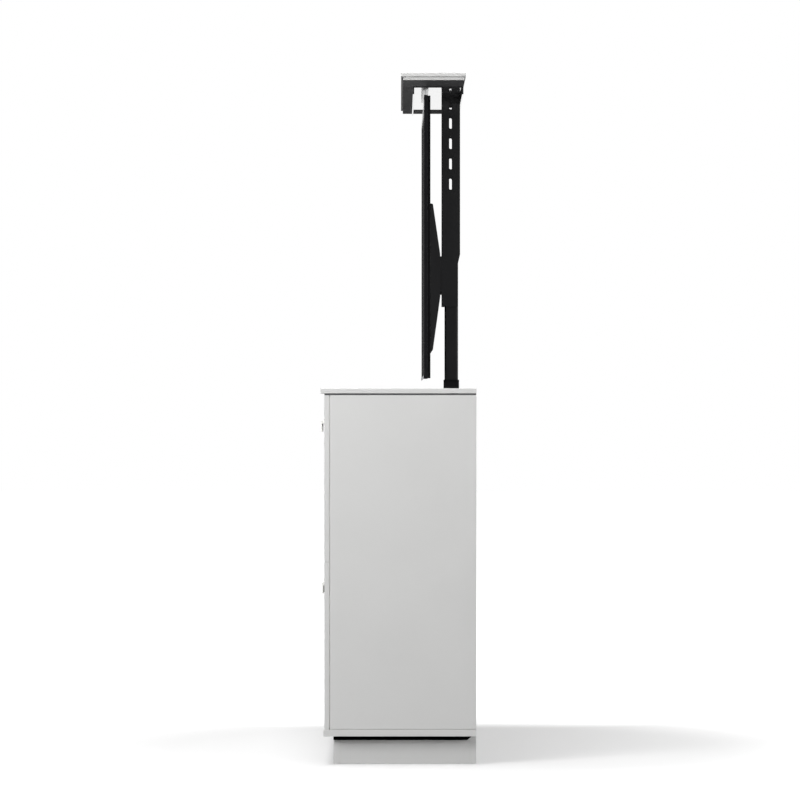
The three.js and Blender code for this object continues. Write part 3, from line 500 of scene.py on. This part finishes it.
# %% Doors and flaps with their hinge cups
CUP_FLANGE = 1 * MM
front_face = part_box("door_left")[0].y
front_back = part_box("door_left")[1].y - CUP_FLANGE
found = 0
for name in nodes:
    if not name.startswith(("door_", "flap_")) or name.endswith("_handle"):
        continue
    low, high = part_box(name)

    def is_cup(centre, normal, low=low, high=high):
        inside = low.x + SKIN < centre.x < high.x - SKIN and low.z + SKIN < centre.z < high.z - SKIN
        return inside and centre.y > front_face + SKIN and abs(centre.y - front_back) > SKIN

    found += dress(name, lacquer, (plated_hinge, is_cup))
print("faces of hinge cups:", found)

# %% [markdown]
# ### Bolts, and faces with a finish of their own
#
# The bolts of the base plate, bracket and hook plate are black oxide on powder-coated plates, and the
# screws of the lid are bright zinc. Each stands out of its plate, so its faces lie beyond the plate's own
# planes. Some mouldings wear a second finish on one kind of face: the level edges of the television and
# the inner faces of the lid's channel are smoother than the rest, because the photograph shows a bright
# line where the camera looks along them. They could be pieces of their own, but a test on the way that a
# face points is shorter and leaves no seam.

# %% Bolts, screws and faces that are told apart
PLATE = 2 * MM
BASE_PLATE = 6 * MM
CHANNEL_PLAY = 3 * MM
BASE_BOLT_X = 0.07
PLATE_BOLT_X = 0.045
HOOK_BOLT_X = (0.09, 0.11)
BOLTS_BELOW = 1.235
FACING = 0.9
plate_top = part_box("lift_outer_tube")[0].z
plate_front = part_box("lift_carriage")[0].y - PLATE
hook_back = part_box("tv_rear_cover")[1].y + PLATE
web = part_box("lift_carriage")[1].z


def is_base_bolt(centre, normal):
    below = centre.z < plate_top - BASE_PLATE - SKIN
    return centre.z > plate_top + SKIN or abs(centre.x) > BASE_BOLT_X and below


def is_plate_bolt(centre, normal):
    near = abs(centre.x) < PLATE_BOLT_X and centre.z < BOLTS_BELOW
    return near and centre.y < plate_front - SKIN


def is_hook_bolt(centre, normal):
    near = HOOK_BOLT_X[0] < abs(centre.x) < HOOK_BOLT_X[1] and centre.z < BOLTS_BELOW
    return near and (centre.y > hook_back + SKIN or centre.y < hook_back - PLATE - SKIN)


def is_lid_screw(centre, normal):
    return centre.z > web + CHANNEL_PLAY + SKIN


def faces_front(centre, normal):
    return normal.y < -FACING


def faces_down(centre, normal):
    return normal.z < -FACING


def is_level(centre, normal):
    return abs(normal.z) > FACING


def is_inside(centre, normal):
    return faces_down(centre, normal) or faces_front(centre, normal)


print("tests ready for bolts, screws and level faces")

# %% Plates, television and lid
found = dress("lift_base_plate", powder_coat, (black_oxide, is_base_bolt))
found += dress("carriage_bracket_plate", powder_coat, (black_oxide, is_plate_bolt))
found += dress("tv_hook_plate", powder_coat, (black_oxide, is_hook_bolt))
found += dress("lid_channel", powder_coat, (zinc_screw, is_lid_screw), (enamel, is_inside))
found += dress("tv_bottom_strip", bezel_plastic, (satin_trim, faces_front), (enamel, is_level))
found += dress("tv_bezel", bezel_plastic, (enamel, is_level))
found += dress("tv_back_shell", moulded_abs, (enamel, is_level))
found += dress("lid_lip_board", lid_lacquer_painted_shade, (slate_foil, faces_down))
found += dress("lid_plug_board", lid_lacquer_painted_shade, (grey_foil, faces_down))
print("faces in a second finish:", found)


# %% [markdown]
# ### How round each edge is
#
# Boards are sanded over to about 0.8 mm, mouldings are drawn with 0.6 mm, folded and drawn steel comes
# out at 0.4 mm, and thin or turned parts keep 0.3 mm. The television's bottom strip gets both its own
# round and that of the frame it is set in.

# %% Which edges are rounded, and how much
def wearers(*finishes):
    """The nodes whose main finish is one of these."""
    return [name for name in nodes if nodes[name].data.materials[0] in finishes]


edges = {
    0.8: wearers(lacquer, plinth_lacquer_painted_light, lid_lacquer_painted_shade, melamine),
    0.4: wearers(powder_coat, tube_coat, enamel, brushed_nickel),
    0.6: wearers(moulded_abs, cover_plastic, nylon, bezel_plastic),
    0.3: ["top_spacer", "lift_screw", "lift_nut", "tv_screen", "tv_bottom_strip"],
}
for radius_mm, names in edges.items():
    for name in names:
        soften(name, radius_mm)
print("rounds given to", sum(len(names) for names in edges.values()), "sets of edges")

# %% [markdown]
# ## Small parts that the CAD model leaves out
#
# A cabinet maker adds a few light parts that no drawing of the boards shows: a dark strip that fills the
# shadow gap over the flaps, a moulded bush in the cable hole, and screws around the back panel. Three
# more
# stand for light and shade: a soft white seal on the front edges of the end panels and white strips in
# the joints of the fronts are painted light that fills the shade of those gaps, and a black rubber strip
# over the plinth is painted shadow. A television has a field of sockets on its rear cover. Each is a
# drawn section or a turned outline here, as it would be on the machine that makes it.

# %% Helpers for drawn and turned parts
TURN_STEPS = 48


def small_part(name, points, faces, material, body):
    """A mesh piece from points in metres, with one material, on a body."""
    mesh = bpy.data.meshes.new(name)
    mesh.from_pydata(points, [], faces)
    shell = bmesh.new()
    shell.from_mesh(mesh)
    bmesh.ops.recalc_face_normals(shell, faces=shell.faces)
    shell.to_mesh(mesh)
    shell.free()
    mesh.materials.append(material)
    thing = bpy.data.objects.new(name, mesh)
    bpy.context.scene.collection.objects.link(thing)
    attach(thing, body)
    return thing


def rounded_section(u_low, u_high, v_low, v_high, radius, steps=4):
    """A rectangle with rounded corners, as points in order."""
    corners = ((u_high, v_high, 0), (u_low, v_high, 90), (u_low, v_low, 180), (u_high, v_low, 270))
    points = []
    for u, v, start in corners:
        centre_u = u - radius if u == u_high else u + radius
        centre_v = v - radius if v == v_high else v + radius
        for step in range(steps + 1):
            angle = math.radians(start + 90 * step / steps)
            points.append((centre_u + radius * math.cos(angle), centre_v + radius * math.sin(angle)))
    return points


def drawn(section, low, high, axis, first=0):
    """Points and faces of a closed section drawn along an axis. Face numbers start at first."""
    place = {
        "x": lambda u, v, w: (w, u, v),
        "y": lambda u, v, w: (u, w, v),
        "z": lambda u, v, w: (u, v, w),
    }
    points = [place[axis](u, v, w) for w in (low, high) for u, v in section]
    count = len(section)
    faces = [(first + i, first + (i + 1) % count, first + count + (i + 1) % count, first + count + i)
             for i in range(count)]
    faces.append(tuple(range(first, first + count)))
    faces.append(tuple(range(first + count, first + 2 * count)))
    return points, faces


def turned(profile, centre, steps=TURN_STEPS, first=0):
    """Points and faces of a closed (radius, y) profile turned about an axis along Y."""
    points = []
    for step in range(steps):
        angle = 2 * math.pi * step / steps
        points += [(centre[0] + r * math.cos(angle), y, centre[1] + r * math.sin(angle))
                   for r, y in profile]
    count = len(profile)
    faces = []
    for step in range(steps):
        here = first + step * count
        there = first + (step + 1) % steps * count
        faces += [(here + i, here + (i + 1) % count, there + (i + 1) % count, there + i)
                  for i in range(count)]
    return points, faces


print("helpers for drawn and turned parts made, with", TURN_STEPS, "steps to a turn")

# %% [markdown]
# ### Gap strip and edge seals
#
# In the photograph the dark line under the top runs on over the flaps, flush with their faces, and to the
# rear edge. The CAD spacer stands back there, so two strips with the same dark foil continue it. The gap
# between the fronts and the end panel is only a little darker than the panel, because a white seal lies
# in it as painted light, filling the shade of the gap.

# %% Gap strip and edge seals
PLAY = 0.3 * MM
STRIP_ROUND = 0.4 * MM
SEAL_OUT = 1.2 * MM
SEAL_IN = 7 * MM
SEAL_CLEAR = 0.2 * MM
SEAL_ROUND = 0.7 * MM
SEAL_FOOT = 92 * MM
SEAL_SHORT = 3 * MM
spacer_low, spacer_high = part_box("top_spacer")
top_low, top_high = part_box("top_board")
flap_low, flap_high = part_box("flap_left")
panel_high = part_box("side_panel_right")[1]
strips = {
    "gap_strip_front": (front_face + PLAY, spacer_low.y - PLAY),
    "gap_strip_rear": (spacer_high.y + PLAY, top_high.y - PLAY),
}
for name, (y_low, y_high) in strips.items():
    section = rounded_section(
        y_low, y_high, spacer_low.z + PLAY, spacer_high.z - PLAY / 3, STRIP_ROUND)
    points, faces = drawn(section, spacer_low.x, spacer_high.x, "x")
    small_part(name, points, faces, slate_foil, "cabinet")
# The edge seals are painted light: white strips that fill the shade of the gap beside the fronts.
for side, name in ((-1, "edge_seal_left"), (1, "edge_seal_right")):
    x_ends = sorted((side * (panel_high.x - SEAL_OUT), side * (panel_high.x - SEAL_IN)))
    section = rounded_section(x_ends[0], x_ends[1], front_back + SEAL_CLEAR, panel_edge, SEAL_ROUND)
    points, faces = drawn(section, SEAL_FOOT, spacer_low.z - SEAL_SHORT, "z")
    small_part(name, points, faces, melamine, "cabinet")
print("two gap strips and two edge seals made")

# %% [markdown]
# ### Joint strips and the painted shadow over the plinth
#
# Two white strips lie in the joints under the flaps and under the doors, a hair clear of both. They are
# painted light: no dark line of shade shows between the rows from the side. Under the bottom board a
# black rubber strip over the plinth is painted shadow: it stands for the shade that the board casts
# there, and seen from the side it is the blackest line of the cabinet. At the rear it ends on a slant,
# where that shade thins.

# %% Joint strips
# The joint strips are painted light: white strips that fill the shade between the rows of fronts.
JOINT_PLAY = 0.25 * MM
JOINT_BACK = 0.8 * MM
JOINT_END = 1 * MM
JOINT_ROUND = 0.3 * MM
door_low, door_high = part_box("door_right")
joints = {
    "joint_strip_middle": (door_high.z, flap_low.z),
    "joint_strip_bottom": (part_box("bottom_board")[1].z, door_low.z),
}
for name, (z_low, z_high) in joints.items():
    section = rounded_section(
        front_face + JOINT_BACK, panel_edge - JOINT_PLAY,
        z_low + JOINT_PLAY, z_high - JOINT_PLAY, JOINT_ROUND)
    points, faces = drawn(section, -panel_high.x + JOINT_END, panel_high.x - JOINT_END, "x")
    small_part(name, points, faces, melamine, "cabinet")
print("two joint strips made")

# %% Plinth strips of painted shadow
LIP_CLEAR = 0.02 * MM
LIP_THICK = 0.7 * MM
LIP_LOW = 58.0 * MM
LIP_ROUND = 0.2 * MM
# The rear ends slant, as the painted shadow thins where light reaches under the board.
REAR_SHORT = 6 * MM
REAR_LONG = 8 * MM
plinth_low, plinth_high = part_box("plinth_front")
rear_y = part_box("plinth_right")[1].y
lip_high = plinth_high.z - PLAY / 2
lip_front = plinth_low.y - LIP_THICK
section = rounded_section(lip_front, plinth_low.y - LIP_CLEAR, LIP_LOW, lip_high, LIP_ROUND)
points, faces = drawn(section, plinth_low.x, plinth_high.x, "x")
small_part("plinth_shadow_strip_front", points, faces, painted_shadow_rubber, "cabinet")
outline = (
    (lip_front, LIP_LOW), (rear_y - REAR_SHORT, LIP_LOW),
    (rear_y + REAR_LONG, lip_high), (lip_front, lip_high),
)
for side, name in ((-1, "plinth_shadow_strip_left"), (1, "plinth_shadow_strip_right")):
    face_x = side * plinth_high.x
    points = [(face_x + side * out, y, z) for out in (LIP_CLEAR, LIP_THICK) for y, z in outline]
    faces = [(0, 1, 2, 3), (4, 5, 6, 7)] + [(i, (i + 1) % 4, (i + 1) % 4 + 4, i + 4) for i in range(4)]
    small_part(name, points, faces, painted_shadow_rubber, "cabinet")
print("three plinth lips made")

# %% [markdown]
# ### Cable bush and back screws
#
# The bush is pushed into the cable hole from behind: a thin flange outside, a sleeve through the board.
# The back panel is let in between the boards and held by small pan-head screws about 200 mm apart.

# %% Cable bush
# The outline of half a section: the radius, and how far behind the panel, in millimetres.
BUSH_CENTRE = (0.5, 0.16)
BUSH_OUTLINE = (
    (27.6, -11.5), (27.2, 0.4), (27.9, 1.5), (29.4, 2.2), (32.5, 2.3),
    (35.2, 1.6), (36.0, 0.7), (36.0, 0.05), (29.8, 0.05), (29.8, -11.5),
)
back_low, back_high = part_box("back_panel")
rear = back_high.y
points, faces = turned([(r * MM, rear + y * MM) for r, y in BUSH_OUTLINE], BUSH_CENTRE)
small_part("cable_bush", points, faces, nylon, "cabinet")
print("cable bush made,", len(points), "points")

# %% Back screws
HEAD_OUTLINE = (
    (0.05, 0.8), (0.9, 0.8), (1.1, 1.55), (2.0, 1.5),
    (3.0, 1.1), (3.5, 0.4), (3.5, 0.03), (0.05, 0.03),
)
HEAD_STEPS = 16
INSET = 8 * MM
GAPS_ACROSS = 7
GAPS_UP = 4
head = [(r * MM, rear + y * MM) for r, y in HEAD_OUTLINE]
width = back_high.x - back_low.x - 2 * INSET
height = back_high.z - back_low.z - 2 * INSET
across = [back_low.x + INSET + width * i / GAPS_ACROSS for i in range(GAPS_ACROSS + 1)]
upward = [back_low.z + INSET + height * i / GAPS_UP for i in range(GAPS_UP + 1)]
spots = [(x, z) for x in across for z in (upward[0], upward[-1])]
spots += [(x, z) for x in (across[0], across[-1]) for z in upward[1:-1]]
points, faces = [], []
for spot in spots:
    more_points, more_faces = turned(head, spot, steps=HEAD_STEPS, first=len(points))
    points += more_points
    faces += more_faces
small_part("back_panel_screws", points, faces, zinc_screw, "cabinet")
print(len(spots), "back screws made")

# %% [markdown]
# ### Socket field of the television
#
# Below the widest part of the cover, on the left seen from behind, a thin plate carries the sockets:
# three flat moulded blocks and two round collars. None is lettered.

# %% Socket field
FIELD_X = (0.452, 0.578)
FIELD_Z = (1.05, 1.094)
FIELD_ROUND = 4 * MM
FIELD_BACK = 0.05 * MM
FIELD_FACE = 1.2 * MM
BLOCKS_X = (0.470, 0.493, 0.516)
BLOCK_Z = (1.0665, 1.0775)
BLOCK_HALF = 9.0 * MM
BLOCK_ROUND = 1.5 * MM
BLOCK_FACE = 2.2 * MM
COLLARS_X = (0.540, 0.560)
COLLAR_Z = 1.072
COLLAR_OUTLINE = ((3.4, 1.0), (3.4, 2.2), (3.8, 2.5), (5.4, 2.5), (5.8, 2.2), (5.8, 1.0))
COLLAR_STEPS = 32
shell_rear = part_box("tv_back_shell")[1].y
section = rounded_section(*FIELD_X, *FIELD_Z, FIELD_ROUND)
points, faces = drawn(section, shell_rear + FIELD_BACK, shell_rear + FIELD_FACE, "y")
for x in BLOCKS_X:
    section = rounded_section(x - BLOCK_HALF, x + BLOCK_HALF, *BLOCK_Z, BLOCK_ROUND)
    more_points, more_faces = drawn(
        section, shell_rear + FIELD_FACE, shell_rear + BLOCK_FACE, "y", first=len(points))
    points += more_points
    faces += more_faces
ring = [(r * MM, shell_rear + y * MM) for r, y in COLLAR_OUTLINE]
for x in COLLARS_X:
    more_points, more_faces = turned(ring, (x, COLLAR_Z), steps=COLLAR_STEPS, first=len(points))
    points += more_points
    faces += more_faces
small_part("tv_socket_field", points, faces, bezel_plastic, "carriage")
print("socket field made with", len(BLOCKS_X), "blocks and", len(COLLARS_X), "collars")

# %% [markdown]
# ## The studio
#
# The photograph has a pure white ground on which only the shadow shows. A floor that bright would throw
# far too much light back on the object. So the floor is a dark matt grey for light on its way, and for
# the camera and mirrors a pale one that also glows. Near the object the glow is weak, which paints shade
# on the floor around it, so that the shadow falls below white. Away from it and on its far side the glow
# rises, which paints light over the real shadow behind the object, and the floor is white whatever the
# lamps do. Mirrors see little of the glow for the first nine metres, so polished edges stay dark.

# %% Floor
FLOOR_SIZE = 60
corner = FLOOR_SIZE / 2
floor_mesh = bpy.data.meshes.new("floor")
floor_mesh.from_pydata(
    [(-corner, -corner, 0), (corner, -corner, 0), (corner, corner, 0), (-corner, corner, 0)],
    [], [(0, 1, 2, 3)])
floor = bpy.data.objects.new("floor", floor_mesh)
bpy.context.scene.collection.objects.link(floor)
floor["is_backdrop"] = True


def seen_rays(tree, path):
    """One for rays that the eye follows, straight or by a mirror or glass, and nought for the light."""
    direct = add_node(tree, "Math", {
        0: path.outputs["Is Camera Ray"], 1: path.outputs["Is Glossy Ray"],
    }, operation="ADD")
    every = add_node(tree, "Math", {
        0: direct.outputs["Value"], 1: path.outputs["Is Transmission Ray"],
    }, operation="ADD", use_clamp=True)
    return every.outputs["Value"]


print("floor of", FLOOR_SIZE, "m made")

# %% Where the floor glows
WHITE = "#ffffff"
# The weak glow near the object is painted shade on the floor around it, centred a little off its middle.
GLOW_NEAR = 0.33
GLOW_FAR = 1.0
PAINTED_SHADE_MIDDLE = (0.25, 0.1, 0.0)
GLOW_SPAN = (0.65, 1.6)
# On the far side the glow rises as painted light over the shadow behind the object.
FAR_SIDE_PAINTED_LIGHT_SPAN = (-0.36, -0.74)
MIRROR_NEAR = 0.12
MIRROR_SPAN = (9.0, 14.0)
paper = bpy.data.materials.new("matt studio floor")
paper.use_nodes = True
tree = paper.node_tree
tree.nodes.clear()
path = add_node(tree, "LightPath")
eyes = seen_rays(tree, path)
place = add_node(tree, "TexCoord").outputs["Object"]
shifted = add_node(tree, "VectorMath", {0: place, 1: PAINTED_SHADE_MIDDLE}, operation="SUBTRACT")
away = add_node(tree, "VectorMath", {0: shifted.outputs["Vector"]}, operation="LENGTH")
apart = add_node(tree, "SeparateXYZ", {"Vector": place})
rises = []
for value, span, near in (
    (away.outputs["Value"], GLOW_SPAN, GLOW_NEAR),
    (apart.outputs["X"], FAR_SIDE_PAINTED_LIGHT_SPAN, GLOW_NEAR),
    (away.outputs["Value"], MIRROR_SPAN, MIRROR_NEAR),
):
    rises.append(add_node(tree, "MapRange", {
        "Value": value, "From Min": span[0], "From Max": span[1], "To Min": near, "To Max": GLOW_FAR,
    }, interpolation_type="SMOOTHSTEP").outputs["Result"])
around, far_side_painted_light, mirrored = rises
stronger = add_node(tree, "Math", {0: around, 1: far_side_painted_light}, operation="MAXIMUM")
share = add_node(tree, "Mix", {
    "Factor": path.outputs["Is Camera Ray"], "A": mirrored, "B": stronger.outputs["Value"],
}, data_type="FLOAT")
glow = add_node(tree, "Math", {0: eyes, 1: share.outputs["Result"]}, operation="MULTIPLY")
print("the floor glows from", GLOW_NEAR, "near the object to", GLOW_FAR, "away from it")

# %% The floor's paper
PAPER_TONES = ("#b8b8b8", "#bebebe")
PAPER_SPECKS = 400.0
BOUNCE_TONE = "#3e3e3e"
speck = add_node(tree, "TexNoise", {"Vector": place, "Scale": PAPER_SPECKS, "Detail": 2.0})
tone = add_node(tree, "Mix", {
    "Factor": speck.outputs["Fac"], MIX_A: linear(PAPER_TONES[0]), MIX_B: linear(PAPER_TONES[1]),
}, data_type="RGBA")
paint = add_node(tree, "Mix", {
    "Factor": eyes, MIX_A: linear(BOUNCE_TONE), MIX_B: tone.outputs[MIX_RESULT],
}, data_type="RGBA")
matt = add_node(tree, "BsdfDiffuse", {"Color": paint.outputs[MIX_RESULT]})
lit = add_node(tree, "Emission", {"Color": linear(WHITE), "Strength": glow.outputs["Value"]})
both = add_node(tree, "AddShader", {0: matt.outputs["BSDF"], 1: lit.outputs["Emission"]})
add_node(tree, "OutputMaterial", {"Surface": both.outputs["Shader"]})
floor_mesh.materials.append(paper)
print("paper laid:", PAPER_TONES[0], "for the eye and", BOUNCE_TONE, "for the light")

# %% [markdown]
# ### The room
#
# The room is white for the camera and gives the object only a faint even light. Mirrors see it dark
# around the horizon and brighter upward, which draws a dark core into every round part. Two white areas
# are left for them: all that is below the horizon, and a screen behind the object from four degrees up.
# They light the smooth level faces that the camera sees almost edge-on.

# %% What mirrors see of the room
DARK_SIDE = 0.05
BACKDROP_SPAN = (0.1, 0.6)
SCREEN_TURN_SPAN = (-0.85, -0.95)
SCREEN_FOOT_SPAN = (0.066, 0.072)
world = bpy.data.worlds.new("studio")
bpy.context.scene.world = world
world.use_nodes = True
tree = world.node_tree
tree.nodes.clear()
path = add_node(tree, "LightPath")
direction = add_node(tree, "TexCoord").outputs["Generated"]
split = add_node(tree, "SeparateXYZ", {"Vector": direction})
height = add_node(tree, "Math", {0: split.outputs["Z"]}, operation="ABSOLUTE")
backdrop = add_node(tree, "MapRange", {
    "Value": height.outputs["Value"], "From Min": BACKDROP_SPAN[0], "From Max": BACKDROP_SPAN[1],
    "To Min": DARK_SIDE, "To Max": 1.0,
})
below = add_node(tree, "Math", {0: split.outputs["Z"], 1: 0.0}, operation="LESS_THAN")
behind = add_node(tree, "MapRange", {
    "Value": split.outputs["X"], "From Min": SCREEN_TURN_SPAN[0], "From Max": SCREEN_TURN_SPAN[1],
})
raised = add_node(tree, "MapRange", {
    "Value": split.outputs["Z"], "From Min": SCREEN_FOOT_SPAN[0], "From Max": SCREEN_FOOT_SPAN[1],
})
screen = add_node(tree, "Math", {
    0: behind.outputs["Result"], 1: raised.outputs["Result"],
}, operation="MULTIPLY")
bright = add_node(tree, "Math", {
    0: screen.outputs["Value"], 1: below.outputs["Value"],
}, operation="MAXIMUM")
print("mirrors see", DARK_SIDE, "at the horizon and white from", BACKDROP_SPAN[1], "up")

# %% The room's light
ROOM_LIGHT = 0.03
white = add_node(tree, "Math", {
    0: path.outputs["Is Camera Ray"], 1: bright.outputs["Value"],
}, operation="MAXIMUM")
seen = add_node(tree, "Mix", {
    "Factor": white.outputs["Value"], "A": backdrop.outputs["Result"], "B": 1.0,
}, data_type="FLOAT")
strength = add_node(tree, "Mix", {
    "Factor": seen_rays(tree, path), "A": ROOM_LIGHT, "B": seen.outputs["Result"],
}, data_type="FLOAT")
sky = add_node(tree, "Background", {"Color": linear(WHITE), "Strength": strength.outputs["Result"]})
add_node(tree, "OutputWorld", {"Surface": sky.outputs["Background"]})
print("white room made, its light on the object is", ROOM_LIGHT)

# %% [markdown]
# ## The lamps
#
# The shading of the end panel, lightest at its upper front corner, and the long shadow to the right say
# that the main lamp stands to the left of the camera, a little above the cabinet. The upper lamp is a
# weak one over it, for the lid and the television. The right lamp is larger and farther off, and gives
# the short pale shadow on the left. The high one hangs overhead, wide enough to light all the tops and
# the floor without a hard edge. The back and far lamps stand behind the cabinet and give the rear faces
# and edges their light.

# %% Six soft lamps
# The name of each, its place, and its width in metres and power in watts.
AIM = Vector((0.0, 0.0, 0.7))
LAMPS = (
    ("left lamp", (2.7, -2.4, 1.55), 1.3, 61),
    ("right lamp", (4.4, 3.6, 1.4), 2.0, 101),
    ("upper lamp", (2.2, -1.2, 2.9), 1.2, 27),
    ("high lamp", (0.65, -1.3, 12.0), 6.5, 1200),
    ("back lamp", (0.6, 6.0, 1.6), 2.4, 75),
    ("far lamp", (-3.4, 4.6, 1.2), 2.0, 50),
)
for name, place, size, watts in LAMPS:
    light = bpy.data.lights.new(name, "AREA")
    light.shape = "DISK"
    light.size = size
    light.energy = watts
    thing = bpy.data.objects.new(name, light)
    thing.location = place
    thing.rotation_euler = (AIM - Vector(place)).to_track_quat("-Z", "Y").to_euler()
    bpy.context.scene.collection.objects.link(thing)
print(len(LAMPS), "lamps placed")

# %% [markdown]
# ## The camera
#
# The near and far ends of the lid and of the television stand at two scales in the photograph, and that
# gives the distance. The camera is eleven metres away, level, at about the height of the cabinet's top,
# and looks along -X with a long lens.

# %% Camera
LENS_MM = 188.2
SENSOR_MM = 36
FARTHEST = 200
CAMERA_PLACE = (10.986, 0.00485, 0.8935)
LEVEL = math.radians(90)
camera_data = bpy.data.cameras.new("camera")
camera_data.lens = LENS_MM
camera_data.sensor_width = SENSOR_MM
camera_data.clip_end = FARTHEST
camera = bpy.data.objects.new("camera", camera_data)
camera.location = CAMERA_PLACE
camera.rotation_euler = (LEVEL, 0, LEVEL)
bpy.context.scene.collection.objects.link(camera)
bpy.context.scene.camera = camera
bpy.context.scene.view_settings.view_transform = "Standard"
print("camera", round(CAMERA_PLACE[0], 2), "m away, lens", LENS_MM, "mm")

# %% [markdown]
# ## Sizes
#
# The dressed model must not outgrow the CAD model, so its box is printed.

# %% Print the visual box
low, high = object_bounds()
print("visual box from", tuple(round(v, 4) for v in low), "to", tuple(round(v, 4) for v in high))
